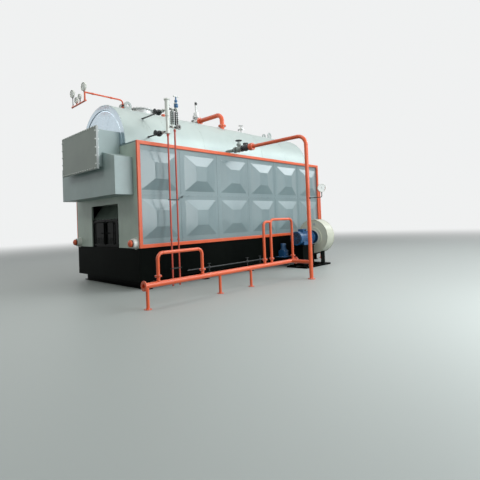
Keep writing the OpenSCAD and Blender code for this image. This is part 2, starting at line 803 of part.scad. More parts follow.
// Small vent valve on a nozzle near the rear of the drum top.
vent_x = x_front + 6020;
vent_y = -200;
module vent_valve() {
    z = round(drum_z + sqrt(pow(drum_r, 2) - pow(vent_y, 2)));
    body_z = z + 150;
    half = 130;
    face_t = 22;
    root = 20;
    stem_h = 300;
    color("silver") {
        on_drum() rod_z([vent_x, vent_y, z - 30], 60, 60);
        rod_z([vent_x, vent_y, z + root], stem_h - 50, 26);
        ball([vent_x, vent_y, body_z], 58);
        rod_y([vent_x, vent_y - half, body_z], 2 * half, 28);
        for (d = [-half, half - face_t]) rod_y([vent_x, vent_y + d, body_z], face_t, 52);
        translate([vent_x, vent_y, z + stem_h]) handwheel(100, 11);
        rod_z([vent_x, vent_y, z + root], stem_h, 11);
    }
}

// Round manhole on the drum top, with a dished cover.
manhole_x = x_front + 1420;
module manhole_cover() {
    neck_r = 345;
    neck_h = 90;
    face_r = 410;
    face_t = 30;
    dome_h = 70;
    root = 60;
    dome_r = (neck_r * neck_r + dome_h * dome_h) / (2 * dome_h);
    color("silver") {
        on_drum() rod_z([manhole_x, 0, drum_top - root], root + neck_h, neck_r);
        rod_z([manhole_x, 0, drum_top + neck_h - 1], face_t + 1, face_r);
        intersection() {
            translate([manhole_x, 0, drum_top + neck_h + face_t + dome_h - dome_r]) sphere(r = dome_r, $fn = 96);
            rod_z([manhole_x, 0, drum_top + neck_h + face_t - 1], dome_h + 1, neck_r);
        }
    }
}

// A pair of lifting lugs near each end of the drum.
lug_places = [x_front + 830, x_rear - 1060];
module lifting_lugs() {
    lug_t = 30;
    lug_w = 250;
    lug_rise = 270;
    lug_out = 160;
    eye = 45;
    root = 30;
    color("gainsboro") for (x = lug_places, s = [-1, 1]) on_drum() difference() {
        union() {
            block([x - lug_w / 2, s * lug_out - lug_t / 2, drum_top - root],
                [x + lug_w / 2, s * lug_out + lug_t / 2, drum_top + lug_rise - lug_w / 2]);
            rod_y([x, s * lug_out - lug_t / 2, drum_top + lug_rise - lug_w / 2], lug_t, lug_w / 2);
        }
        rod_y([x, s * lug_out - lug_t, drum_top + lug_rise - lug_w / 2], lug_t * 2, eye);
    }
}

// Feed line out from the drum: stub with a globe valve, then a check valve, then the pipe.
fd_x = x_front + feed_x;
valve_y = -y_side + 100;
check_y = valve_y - valve_len;
flange_y = check_y - check_len;
feed_flange_r = feed_r * 1.85;
module feed_valve() {
    color(dark) {
        translate([fd_x, valve_y, feed_z]) mirror([0, 1, 0]) globe_valve(feed_r, valve_len, 300, 110);
        rod_y([fd_x, valve_y, feed_z], 33, feed_flange_r);
        on_drum() rod_y([fd_x, valve_y, feed_z], -drum_r / 2 - valve_y, feed_r);
    }
}
module check_valve() {
    face_t = 38;
    body_r = 115;
    body_y = check_len * 0.56;
    lid_r = 92;
    lid_t = 28;
    lid_z = 100;
    color("#1d2830") translate([fd_x, flange_y, feed_z]) {
        rod_y([0, 0, 0], check_len, feed_r * 1.25);
        for (y = [0, check_len - face_t]) rod_y([0, y, 0], face_t, feed_flange_r);
        ball([0, body_y, 0], body_r);
        for (z = [lid_z, lid_z + lid_t + 4]) rod_z([0, body_y, z], lid_t, lid_r);
        rod_z([0, body_y, 0], lid_z + lid_t + 18, lid_r * 0.75);
    }
}
fd_y = -y_side - feed_out;
module feed_pipe() {
    face_t = 40;
    face_gap = 8;
    face_n = 3;
    face_r = 120;
    foot_t = 24;
    color(orange) {
        for (i = [1 : face_n]) rod_y([fd_x, flange_y - i * face_t - (i - 1) * face_gap, feed_z], face_t, face_r);
        rod_y([fd_x, fd_y + feed_bend, feed_z], flange_y - fd_y - feed_bend, feed_r);
        bend_out_up([fd_x, fd_y + feed_bend, feed_z - feed_bend], feed_r, feed_bend);
        rod_z([fd_x, fd_y, foot_t], feed_z - feed_bend - foot_t, feed_r);
        rod_z([fd_x, fd_y, 0], foot_t, feed_flange_r);
    }
}

// Header on legs beside the walkway, joined to the downcomer by a cross pipe.
hd_y = -y_side - header_out;
header_x0 = x_front - 1200;
header_x1 = fd_x + 200;
leg_x = [header_x0 + 90, x_front + 980, x_front + 2130];
end_flange_t = 24;
module feed_header() {
    leg_r = 36;
    foot_t = 12;
    face_r = 110;
    bore_len = 60;
    color(orange) difference() {
        union() {
            rod_x([header_x0, hd_y, header_z], header_x1 - header_x0, header_r);
            for (x = [header_x0, header_x1]) rod_x([x, hd_y, header_z], end_flange_t, face_r);
            difference() {
                rod_y([fd_x, fd_y, header_z], hd_y - fd_y, header_r - 6);
                rod_z([fd_x, fd_y, 0], header_z * 2, feed_r + seat);
            }
            for (x = leg_x) {
                rod_z([x, hd_y, foot_t], header_z - foot_t, leg_r);
                rod_z([x, hd_y, 0], foot_t, leg_r * 2.3);
            }
        }
        rod_x([header_x0 - 1, hd_y, header_z], bore_len + 1, header_bore_r);
        translate([header_x0 - 1, hd_y, header_z]) rotate([0, 90, 0]) bolt_holes(180, 8, 9, end_flange_t + 2);
    }
}

// Inverted U pipes that rise from the header, the first of them joined to the second.
loop_x = [x_front + 2735, x_front + 3050, x_front + 4080];
low_loop_top = loop_top - 60;
front_loop_x = [x_front - 830, x_front + 420];
module loop_leg(x, top) {
    face_rise = 90;
    face_t = 14;
    difference() {
        rod_z([x, hd_y, header_z], top - loop_bend - header_z, loop_r);
        rod_x([x - 2 * loop_r, hd_y, header_z], 4 * loop_r, header_r + seat);
    }
    for (z = [0, face_t + 4]) rod_z([x, hd_y, header_z + header_r + face_rise + z], face_t, loop_r * 2);
}
module loop(x0, x1, top) {
    loop_leg(x0, top);
    loop_leg(x1, top);
    bend_left_up([x0 + loop_bend, hd_y, top - loop_bend], loop_r, loop_bend);
    bend_right_up([x1 - loop_bend, hd_y, top - loop_bend], loop_r, loop_bend);
    rod_x([x0 + loop_bend, hd_y, top], x1 - x0 - 2 * loop_bend, loop_r);
}
module loop_pipes() {
    color(orange) {
        loop(loop_x[1], loop_x[2], loop_top);
        loop(front_loop_x[0], front_loop_x[1], front_loop_top);
        loop_leg(loop_x[0], low_loop_top);
        bend_left_up([loop_x[0] + loop_bend, hd_y, low_loop_top - loop_bend], loop_r, loop_bend);
        rod_x([loop_x[0] + loop_bend, hd_y, low_loop_top], loop_x[1] - loop_x[0] - loop_bend, loop_r);
    }
}

// Pipe that rises behind the rear corner and turns into the rear wall.
module rear_riser() {
    riser_r = 60;
    riser_bend = 160;
    rx = x_rear + 340;
    ry = -y_side + 150;
    top = 3060;
    foot_t = 24;
    pad_t = 30;
    pad_r = riser_r * 1.9;
    color(orange) {
        rod_z([rx, ry, foot_t], top - riser_bend - foot_t, riser_r);
        rod_z([rx, ry, 0], foot_t, pad_r);
        bend_right_up([rx - riser_bend, ry, top - riser_bend], riser_r, riser_bend);
        rod_x([x_rear, ry, top], rx - riser_bend - x_rear, riser_r);
        rod_x([x_rear, ry, top], pad_t, pad_r);
    }
}

// Thin drain line along the foot of the base, with its small valves.
module drain_line() {
    line_r = 18;
    ly = -y_side - 150;
    lz = 385;
    line_x = [x_front + 1500, x_front + 5200];
    cock_x = [x_front + 2360, x_front + 4110, x_front + 4770];
    tie = 150;
    tail = 150;
    stem = 130;
    color("#30383a") {
        rod_x([line_x[0], ly, lz], line_x[1] - line_x[0], line_r);
        for (x = [line_x[0] + tie, line_x[1] - tie]) rod_y([x, ly, lz], -y_side - ly, line_r);
        for (x = cock_x) {
            ball([x, ly, lz], 46);
            rod_z([x, ly, lz], stem, 10);
            translate([x, ly, lz + stem - 10]) handwheel(56, 8);
            rod_z([x, ly, lz - tail], tail, 15);
        }
    }
}

// Forced-draught fan beside the rear of the base: a volute between two flat cheeks.
fn_x = x_front + fan_x;
fn_y = -y_side - fan_out;
tongue = -60;
volute_n = 60;
// Radius of the scroll at an angle, which falls from the tongue round to the mouth side.
function volute(a) = fan_r + fan_grow * (tongue - a) / 360;
// Outline across the axis: the spiral from the tongue, then down to the mouth, which faces the floor.
function scroll_outline(grow) = concat(
    [for (i = [0 : volute_n]) let (a = tongue + i * (-360 - tongue) / volute_n)
        [(volute(a) + grow) * cos(a), (volute(a) + grow) * sin(a)]],
    [[volute(-360) + grow, -mouth_drop], [fan_r * cos(tongue) - grow, -mouth_drop]]);
mouth_y0 = fan_r * cos(tongue);
mouth_y1 = volute(-360);
mouth_z = fan_z - mouth_drop;
eye_r = 330;
eye_ring = 45;
inlet_lip = 30;
flange_w = 14;
module across_fan(x, w) { translate([x, fn_y, fan_z]) rotate([90, 0, 90]) linear_extrude(height = w) children(); }
module fan_scroll() {
    color(cream) difference() {
        union() {
            across_fan(fn_x, fan_w) polygon(scroll_outline(0));
            across_fan(fn_x - flange_w, fan_w + 2 * flange_w) translate([mouth_y0, -mouth_drop])
                square([mouth_y1 - mouth_y0 + flange_w, flange_w]);
            rod_x([fn_x + fan_w, fn_y, fan_z], inlet_lip, inlet_r + 40);
            rod_x([fn_x - flange_w, fn_y, fan_z], flange_w, eye_r + eye_ring);
        }
        across_fan(fn_x + fan_t, fan_w - 2 * fan_t) polygon(scroll_outline(-fan_t));
        across_fan(fn_x + fan_t, fan_w - 2 * fan_t) translate([mouth_y0 + fan_t, -mouth_drop - 1])
            square([mouth_y1 - mouth_y0 - 2 * fan_t, 2]);
        rod_x([fn_x - flange_w - 1, fn_y, fan_z], fan_t + flange_w + 2, eye_r);
        rod_x([fn_x + fan_w - fan_t - 1, fn_y, fan_z], fan_t + inlet_lip + 2, inlet_r);
    }
}

// Motor with cooling fins, its shaft, and the bladed wheel inside the scroll.
motor_gap = 250;
mt_x = fn_x - motor_gap - motor_len;
foot_y = 180;
module fan_motor() {
    core_r = motor_r - 26;
    hood_len = 150;
    end_len = 40;
    fin_n = 24;
    fin_t = 8;
    fin_h = 30;
    box_x = [mt_x + 300, mt_x + 540];
    box_half = 110;
    box_top = fan_z + motor_r + 80;
    foot_half = 40;
    shaft_r = 40;
    wheel_gap = 60;
    wheel_r = 430;
    wheel_w = 190;
    plate_t = 14;
    hub_r = 90;
    hub_len = 130;
    blade_n = 12;
    blade_r = 150;
    blade_len = 270;
    blade_t = 10;
    color("steelblue") {
        rod_x([mt_x + 60, fn_y, fan_z], motor_len - 60, core_r);
        rod_x([mt_x, fn_y, fan_z], hood_len, motor_r);
        rod_x([mt_x + motor_len - end_len, fn_y, fan_z], end_len, motor_r);
        for (i = [0 : fin_n - 1]) translate([mt_x + hood_len, fn_y, fan_z]) rotate([i * 360 / fin_n, 0, 0])
            translate([0, -fin_t / 2, core_r - 8]) cube([motor_len - hood_len - end_len - 20, fin_t, fin_h]);
        block([box_x[0], fn_y - box_half, fan_z + core_r - 20], [box_x[1], fn_y + box_half, box_top]);
        rod_x([mt_x + motor_len - 10, fn_y, fan_z], motor_gap + fan_w * 0.6, shaft_r);
        for (s = [-1, 1]) block([mt_x + 200, fn_y + s * foot_y - foot_half, fan_z - motor_r],
            [mt_x + motor_len - 120, fn_y + s * foot_y + foot_half, fan_z - core_r * 0.5]);
    }
    color("dimgray") translate([fn_x + wheel_gap, fn_y, fan_z]) rotate([90, 0, 90]) {
        cylinder(r = wheel_r, h = plate_t);
        cylinder(r = hub_r, h = hub_len);
        for (i = [0 : blade_n - 1]) rotate([0, 0, i * 360 / blade_n]) translate([blade_r, 0, 0]) rotate([0, 0, 30])
            translate([0, -blade_t / 2, 0]) cube([blade_len, blade_t, wheel_w]);
        translate([0, 0, wheel_w - 4]) difference() {
            cylinder(r = wheel_r, h = plate_t - 2);
            translate([0, 0, -1]) cylinder(r = inlet_r - 20, h = plate_t);
        }
    }
}

// Pedestal of plates for the motor and feet for the scroll, on one bed frame.
module fan_stand() {
    bed_h = 60;
    bed_y = 400;
    bed_w = 80;
    tie_h = 40;
    plate_t = 30;
    plate_y = 200;
    top_t = 24;
    top_y = 250;
    seat_z = fan_z - motor_r;
    plate_x = [mt_x + 100, mt_x + motor_len - 60];
    cheek_inset = 120;
    cheek_t = 40;
    color(dark) {
        for (s = [-1, 1]) {
            block([mt_x - 40, fn_y + s * bed_y - bed_w / 2, 0], [fn_x + fan_w, fn_y + s * bed_y + bed_w / 2, bed_h]);
            block([plate_x[0], fn_y + s * plate_y - plate_t / 2, bed_h - 1],
                [plate_x[1], fn_y + s * plate_y + plate_t / 2, seat_z - top_t + 1]);
        }
        for (x = [mt_x - 40, fn_x - 200, fn_x + 195, fn_x + fan_w - bed_w])
            block([x, fn_y - bed_y, 0], [x + bed_w, fn_y + bed_y, bed_h]);
        for (x = [plate_x[0], plate_x[1] - plate_t]) {
            block([x, fn_y - bed_y, bed_h - 1], [x + plate_t, fn_y + bed_y, bed_h + tie_h]);
            block([x, fn_y - plate_y, bed_h - 1], [x + plate_t, fn_y + plate_y, seat_z - top_t + 1]);
        }
        block([mt_x + 60, fn_y - top_y, seat_z - top_t], [mt_x + motor_len - 20, fn_y + top_y, seat_z - seat]);
        difference() {
            for (s = [-1, 1]) block([fn_x + cheek_inset, fn_y + s * top_y - cheek_t / 2, bed_h - 1],
                [fn_x + fan_w - cheek_inset, fn_y + s * top_y + cheek_t / 2, fan_z]);
            across_fan(fn_x, fan_w) polygon(scroll_outline(seat));
            block([fn_x, fn_y - fan_r, fan_z - fan_r / 2], [fn_x + fan_w, fn_y + fan_r, fan_z + 1]);
        }
    }
}

// Elbow duct from the scroll's mouth into the side of the base.
duct_low = 270;
duct_drop = 60;
duct_cut = 150;
module duct_outline(grow) {
    y0 = fn_y + mouth_y0 - grow;
    y1 = fn_y + mouth_y1 + grow;
    z1 = mouth_z - flange_w;
    polygon([[y0, z1 + 1], [y1, z1 + 1], [y1, z1 - duct_drop + grow], [-y_side, z1 - duct_drop + grow],
        [-y_side, duct_low - grow], [y0 + duct_cut, duct_low - grow], [y0, duct_low + duct_cut - grow]]);
}
module fan_duct() {
    z1 = mouth_z - flange_w;
    color(cream) difference() {
        union() {
            intersection() {
                translate([fn_x, 0, 0]) rotate([90, 0, 90]) linear_extrude(height = fan_w) duct_outline(0);
                block([fn_x, fn_y, 0], [fn_x + fan_w, -y_side, z1]);
            }
            block([fn_x - flange_w, fn_y + mouth_y0, z1],
                [fn_x + fan_w + flange_w, fn_y + mouth_y1 + flange_w, mouth_z]);
        }
        translate([fn_x + fan_t, 0, 0]) rotate([90, 0, 90]) linear_extrude(height = fan_w - 2 * fan_t)
            duct_outline(-fan_t);
        block([fn_x + fan_t, fn_y + mouth_y0 + fan_t, z1 - 1],
            [fn_x + fan_w - fan_t, fn_y + mouth_y1 - fan_t, mouth_z + 1]);
        block([fn_x + fan_t, -y_side - 2, duct_low + fan_t],
            [fn_x + fan_w - fan_t, -y_side + 1, z1 - duct_drop - fan_t]);
    }
}

// Flanged flue outlet on the rear wall.
flue_len = 180;
module flue_outlet() {
    sheet_t = 12;
    face_r = flue_r + 60;
    face_t = 16;
    color(panel_paint) translate([x_rear, 0, flue_z]) rotate([0, 90, 0]) difference() {
        union() {
            cylinder(r = flue_r + sheet_t, h = flue_len);
            for (z = [0, flue_len - face_t]) translate([0, 0, z]) cylinder(r = face_r, h = face_t);
        }
        translate([0, 0, -1]) cylinder(r = flue_r, h = flue_len + 2);
        translate([0, 0, flue_len - face_t - 1]) bolt_holes(2 * flue_r + 76, 16, 7, face_t + 2);
    }
}

skid_beams();
base_sides();
base_ends();
grate_deck();
grate_drive();
casing_near();
casing_far();
casing_front();
casing_rear();
casing_roof();
side_frames();
drum_cladding();
drum_front_head();
drum_rear_head();
smokebox_lower();
smokebox_upper();
smokebox_cover();
door_frame();
door_near();
door_far();
chute_plate();
header_ends();
header_caps();
water_column();
level_gauge();
level_drains();
gauge_line();
pressure_gauges();
steam_pipe();
steam_valve();
vent_valve();
manhole_cover();
lifting_lugs();
feed_valve();
check_valve();
feed_pipe();
feed_header();
loop_pipes();
rear_riser();
drain_line();
fan_scroll();
fan_motor();
fan_stand();
fan_duct();
flue_outlet();
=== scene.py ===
import math

import bmesh
import bpy
from mathutils import Matrix, Vector


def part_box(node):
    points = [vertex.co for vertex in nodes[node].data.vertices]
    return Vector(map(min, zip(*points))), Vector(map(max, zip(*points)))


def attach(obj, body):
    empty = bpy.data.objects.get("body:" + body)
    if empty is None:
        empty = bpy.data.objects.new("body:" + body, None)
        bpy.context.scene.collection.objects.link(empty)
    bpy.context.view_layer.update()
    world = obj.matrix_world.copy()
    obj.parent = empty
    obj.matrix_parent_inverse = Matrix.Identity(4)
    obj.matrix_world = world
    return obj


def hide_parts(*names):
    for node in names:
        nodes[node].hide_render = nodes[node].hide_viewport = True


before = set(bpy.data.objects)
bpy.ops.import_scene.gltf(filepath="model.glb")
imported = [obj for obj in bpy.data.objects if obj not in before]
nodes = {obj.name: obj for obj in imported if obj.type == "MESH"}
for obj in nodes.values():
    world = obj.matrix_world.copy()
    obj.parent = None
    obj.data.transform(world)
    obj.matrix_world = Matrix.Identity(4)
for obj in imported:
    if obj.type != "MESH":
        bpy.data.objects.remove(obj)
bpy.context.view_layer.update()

# Camera: at eye height, off the near front corner of the boiler.
# The lens is about 29 mm on a full frame, and the picture leans a little, as the photograph does.
eye = Vector((-10.05, -11.019, 1.785))
heading = math.radians(43.70)
look_up = math.radians(1.117)
lean = math.radians(-2.224)
view_dir = Vector((math.cos(heading) * math.cos(look_up), math.sin(heading) * math.cos(look_up),
                   math.sin(look_up)))
level = Vector((math.sin(heading), -math.cos(heading), 0))
upright = level.cross(view_dir)
across = math.cos(lean) * level + math.sin(lean) * upright
upward = math.cos(lean) * upright - math.sin(lean) * level
lens_data = bpy.data.cameras.new("camera")
lens_data.sensor_width = 36
lens_data.lens = 28.65
lens_data.shift_y = -0.0552
camera = bpy.data.objects.new("camera", lens_data)
camera.matrix_world = Matrix.Translation(eye) @ Matrix((across, upward, -view_dir)).transposed().to_4x4()
bpy.context.scene.collection.objects.link(camera)
bpy.context.scene.camera = camera
bpy.context.scene.view_settings.view_transform = "Standard"


# Floor and light: a plain grey floor that fades into a pale backdrop, a weak sky and wide soft lamps.
# Most of the light comes from above and from the gauge side, so the boiler's front is darker than its side.
def math_node(tree, operation, a, b, clamp=False):
    node = tree.nodes.new("ShaderNodeMath")
    node.operation = operation
    node.use_clamp = clamp
    for socket, value in zip(node.inputs, (a, b)):
        if isinstance(value, (int, float)):
            socket.default_value = value
        else:
            tree.links.new(value, socket)
    return node.outputs[0]


def range_node(tree, value, low, high, to_low=0.0, to_high=1.0):
    node = tree.nodes.new("ShaderNodeMapRange")
    for label, number in (("From Min", low), ("From Max", high), ("To Min", to_low), ("To Max", to_high)):
        node.inputs[label].default_value = number
    tree.links.new(value, node.inputs["Value"])
    return node.outputs[0]


def mix_colours(tree, factor, first, second):
    node = tree.nodes.new("ShaderNodeMix")
    node.data_type = "RGBA"
    tree.links.new(factor, node.inputs[0])
    for socket, value in ((node.inputs[6], first), (node.inputs[7], second)):
        if isinstance(value, tuple):
            socket.default_value = value
        else:
            tree.links.new(value, socket)
    return node.outputs[2]


def background_rays(tree):
    """1 for the rays that show the background: the camera's own, and those off metal and through glass."""
    ray = tree.nodes.new("ShaderNodeLightPath")
    bounced = math_node(tree, "MAXIMUM", ray.outputs["Is Glossy Ray"], ray.outputs["Is Transmission Ray"])
    return math_node(tree, "MAXIMUM", ray.outputs["Is Camera Ray"], bounced)


backdrop = (0.87, 0.88, 0.88, 1)
floor_grey = (0.48, 0.51, 0.49, 1)
floor_bounce = (0.15, 0.175, 0.16, 1)
floor_half = 60
fade_start = 13
fade_end = 40
floor_mesh = bpy.data.meshes.new("floor")
floor_mesh.from_pydata([(x * floor_half, y * floor_half, 0) for x, y in ((-1, -1), (1, -1), (1, 1), (-1, 1))],
                       [], [(0, 1, 2, 3)])
floor = bpy.data.objects.new("floor", floor_mesh)
bpy.context.scene.collection.objects.link(floor)
floor_paint = bpy.data.materials.new("floor_paint")
floor_paint.use_nodes = True
floor_tree = floor_paint.node_tree
floor_shader = floor_tree.nodes["Principled BSDF"]
floor_shader.inputs["Roughness"].default_value = 0.5
floor_shown = background_rays(floor_tree)
floor_place = floor_tree.nodes.new("ShaderNodeNewGeometry")
floor_reach = floor_tree.nodes.new("ShaderNodeVectorMath")
floor_reach.operation = "LENGTH"
floor_fade = range_node(floor_tree, floor_reach.outputs["Value"], fade_start, fade_end)
floor_fade.node.interpolation_type = "SMOOTHSTEP"
floor_far = floor_tree.nodes.new("ShaderNodeEmission")
floor_far.inputs["Color"].default_value = backdrop
floor_mix = floor_tree.nodes.new("ShaderNodeMixShader")
for source, target in (
        (mix_colours(floor_tree, floor_shown, floor_bounce, floor_grey), floor_shader.inputs["Base Color"]),
        (floor_place.outputs["Position"], floor_reach.inputs[0]),
        (math_node(floor_tree, "MULTIPLY", floor_fade, floor_shown), floor_mix.inputs[0]),
        (floor_shader.outputs["BSDF"], floor_mix.inputs[1]),
        (floor_far.outputs["Emission"], floor_mix.inputs[2]),
        (floor_mix.outputs["Shader"], floor_tree.nodes["Material Output"].inputs["Surface"])):
    floor_tree.links.new(source, target)
floor_mesh.materials.append(floor_paint)

sky = bpy.data.worlds.new("sky")
bpy.context.scene.world = sky
sky.use_nodes = True
sky_tree = sky.node_tree
sky_tree.nodes.clear()
sky_light = sky_tree.nodes.new("ShaderNodeBackground")
sky_light.inputs["Color"].default_value = (0.90, 0.98, 1.0, 1)
sky_light.inputs["Strength"].default_value = 0.15
sky_seen = sky_tree.nodes.new("ShaderNodeBackground")
sky_seen.inputs["Color"].default_value = backdrop
sky_mix = sky_tree.nodes.new("ShaderNodeMixShader")
sky_out = sky_tree.nodes.new("ShaderNodeOutputWorld")
for source, target in (
        (background_rays(sky_tree), sky_mix.inputs[0]), (sky_light.outputs[0], sky_mix.inputs[1]),
        (sky_seen.outputs[0], sky_mix.inputs[2]), (sky_mix.outputs[0], sky_out.inputs["Surface"])):
    sky_tree.links.new(source, target)


def soft_lamp(name, place, aim, width, height, power, tint):
    lamp_data = bpy.data.lights.new(name, "AREA")
    lamp_data.shape = "RECTANGLE"
    lamp_data.size = width
    lamp_data.size_y = height
    lamp_data.energy = power
    lamp_data.color = tint
    lamp = bpy.data.objects.new(name, lamp_data)
    lamp.location = place
    lamp.rotation_euler = (Vector(aim) - Vector(place)).to_track_quat("-Z", "Y").to_euler()
    bpy.context.scene.collection.objects.link(lamp)


cool_light = (0.92, 0.97, 1.0)
soft_lamp("roof_light", (0, -2, 13), (0, -1, 3), 15, 9, 430, (1.0, 0.99, 0.97))
for number, (place, width, power) in enumerate((
        ((7.5, -15.2, 14.6), 8.4, 680), ((13.0, -13.0, 13.2), 13.0, 790), ((18.5, -10.0, 11.6), 8.4, 400))):
    soft_lamp("high_light_%d" % number, place, (place[0] - 12, 0, 3.4), width, 5.4, power, cool_light)
for number, (x, power) in enumerate(((-2.2, 560), (4.0, 190), (9.5, 110))):
    soft_lamp("side_light_%d" % number, (x, -13, 4.6), (x - 3, 0, 3.0), 5.4, 6, power, (0.93, 0.98, 1.0))
soft_lamp("front_light", (-12.5, -1, 11.5), (-4.5, 0, 2.0), 6, 3.5, 240, (0.95, 1.0, 0.92))
soft_lamp("far_light", (-11, 13, 14.5), (-4.5, 0, 5), 9, 6, 300, cool_light)


# Side panels: the two long walls of the insulated casing, each a row of pressed sheet panels in two tiers.
# Sheet steel, pressed to a shallow pyramid with a flat top, butted over cover strips and sprayed blue-grey.
def node_group(name, inputs, outputs):
    """A shared effect; its outputs are floats but for Normal."""
    tree = bpy.data.node_groups.new(name, "ShaderNodeTree")
    for label, value in inputs:
        tree.interface.new_socket(label, in_out="INPUT", socket_type="NodeSocketFloat").default_value = value
    for label in outputs:
        kind = "NodeSocketVector" if label == "Normal" else "NodeSocketFloat"
        tree.interface.new_socket(label, in_out="OUTPUT", socket_type=kind)
    return tree, tree.nodes.new("NodeGroupInput"), tree.nodes.new("NodeGroupOutput")


def noise_node(tree, stretch, detail, rough=0.55):
    place = tree.nodes.new("ShaderNodeTexCoord")
    mapping = tree.nodes.new("ShaderNodeMapping")
    mapping.inputs["Scale"].default_value = stretch
    noise = tree.nodes.new("ShaderNodeTexNoise")
    noise.inputs["Scale"].default_value = 1.0
    noise.inputs["Detail"].default_value = detail
    noise.inputs["Roughness"].default_value = rough
    tree.links.new(place.outputs["Object"], mapping.inputs["Vector"])
    tree.links.new(mapping.outputs[0], noise.inputs["Vector"])
    return noise.outputs["Fac"]


# Rubbed edges: where a corner stands out, paint thins and the metal or primer shows.
edge_tree, edge_in, edge_out = node_group("rubbed_edges", (("Amount", 0.5), ("Width", 0.006)), ("Mask",))
edge_bevel = edge_tree.nodes.new("ShaderNodeBevel")
edge_bevel.samples = 4
edge_shape = edge_tree.nodes.new("ShaderNodeNewGeometry")
edge_dot = edge_tree.nodes.new("ShaderNodeVectorMath")
edge_dot.operation = "DOT_PRODUCT"
edge_turn = range_node(edge_tree, edge_dot.outputs["Value"], 0.995, 0.90)
edge_break = range_node(edge_tree, noise_node(edge_tree, (9, 9, 9), 6), 0.42, 0.62)
edge_mask = math_node(edge_tree, "MULTIPLY", edge_turn, edge_break)
for source, target in (
        (edge_in.outputs["Width"], edge_bevel.inputs["Radius"]), (edge_bevel.outputs[0], edge_dot.inputs[0]),
        (edge_shape.outputs["Normal"], edge_dot.inputs[1]),
        (math_node(edge_tree, "MULTIPLY", edge_mask, edge_in.outputs["Amount"], True),
         edge_out.inputs["Mask"])):
    edge_tree.links.new(source, target)

# Settled dust: lies on what faces up, and runs down upright sheets in faint streaks.
dust_tree, dust_in, dust_out = node_group("settled_dust", (("Amount", 0.3), ("Streaks", 0.3)), ("Mask",))
dust_shape = dust_tree.nodes.new("ShaderNodeNewGeometry")
dust_split = dust_tree.nodes.new("ShaderNodeSeparateXYZ")
dust_tree.links.new(dust_shape.outputs["Normal"], dust_split.inputs[0])
dust_up = range_node(dust_tree, dust_split.outputs["Z"], 0.25, 1.0)
dust_cloud = range_node(dust_tree, noise_node(dust_tree, (2.1, 2.1, 2.1), 8, 0.65), 0.35, 0.70)
dust_flat = math_node(dust_tree, "MULTIPLY", math_node(dust_tree, "MULTIPLY", dust_up, dust_cloud),
                      dust_in.outputs["Amount"])
dust_run = range_node(dust_tree, noise_node(dust_tree, (7.0, 7.0, 0.45), 5, 0.6), 0.50, 0.78)
dust_wall = math_node(dust_tree, "MULTIPLY", dust_run, dust_in.outputs["Streaks"])
dust_tree.links.new(math_node(dust_tree, "ADD", dust_flat, dust_wall, True), dust_out.inputs["Mask"])

# Uneven coat: broad changes of tone, and a fine orange peel over slightly wavy sheet.
coat_tree, coat_in, coat_out = node_group(
    "uneven_coat", (("Peel", 0.15), ("Wave", 0.2), ("Peel Scale", 160.0)), ("Tone", "Normal"))
coat_tone = noise_node(coat_tree, (0.9, 0.9, 0.9), 7, 0.6)
coat_place = coat_tree.nodes.new("ShaderNodeTexCoord")
coat_peel = coat_tree.nodes.new("ShaderNodeTexNoise")
coat_peel.inputs["Detail"].default_value = 2
wave_bump = coat_tree.nodes.new("ShaderNodeBump")
wave_bump.inputs["Distance"].default_value = 0.02
peel_bump = coat_tree.nodes.new("ShaderNodeBump")
peel_bump.inputs["Distance"].default_value = 0.0006
for source, target in (
        (range_node(coat_tree, coat_tone, 0.3, 0.7), coat_out.inputs["Tone"]),
        (coat_place.outputs["Object"], coat_peel.inputs["Vector"]),
        (coat_in.outputs["Peel Scale"], coat_peel.inputs["Scale"]),
        (coat_in.outputs["Wave"], wave_bump.inputs["Strength"]),
        (noise_node(coat_tree, (1.7, 1.7, 1.7), 1), wave_bump.inputs["Height"]),
        (coat_in.outputs["Peel"], peel_bump.inputs["Strength"]),
        (coat_peel.outputs["Fac"], peel_bump.inputs["Height"]),
        (wave_bump.outputs[0], peel_bump.inputs["Normal"]), (peel_bump.outputs[0],
                                                             coat_out.inputs["Normal"])):
    coat_tree.links.new(source, target)


def group_node(tree, group, **values):
    node = tree.nodes.new("ShaderNodeGroup")
    node.node_tree = group
    for label, value in values.items():
        node.inputs[label.replace("_", " ")].default_value = value
    return node


def coated(name, colour, deep, worn, rough, metal=0.0, coat=0.0, dust=0.3, streaks=0.0, rub=0.4, peel=0.15,
           wave=0.0, dust_colour=(0.42, 0.41, 0.37), peel_scale=160.0, shine=0.5):
    """A coat on metal: its colour and a deeper tone of it, what shows where it is rubbed, and its gloss."""
    material = bpy.data.materials.new(name)
    material.use_nodes = True
    tree = material.node_tree
    shader = tree.nodes["Principled BSDF"]
    uneven = group_node(tree, coat_tree, Peel=peel, Wave=wave, Peel_Scale=peel_scale)
    dusty = group_node(tree, dust_tree, Amount=dust, Streaks=streaks)
    rubbed = group_node(tree, edge_tree, Amount=rub)
    tone = mix_colours(tree, uneven.outputs["Tone"], (*deep, 1), (*colour, 1))
    soiled = mix_colours(tree, dusty.outputs["Mask"], tone, (*dust_colour, 1))
    final = mix_colours(tree, rubbed.outputs["Mask"], soiled, (*worn, 1))
    matt = range_node(tree, dusty.outputs["Mask"], 0.0, 1.0, rough, min(1.0, rough + 0.35))
    for source, label in ((final, "Base Color"), (matt, "Roughness"), (uneven.outputs["Normal"], "Normal")):
        tree.links.new(source, shader.inputs[label])
    for label, value in (("Metallic", metal), ("Specular IOR Level", shine), ("Coat Weight", coat),
                         ("Coat Roughness", 0.12)):
        shader.inputs[label].default_value = value
    return material


def turn_to(axis):
    return Vector(axis).normalized().to_track_quat("Z", "Y").to_matrix().to_4x4()


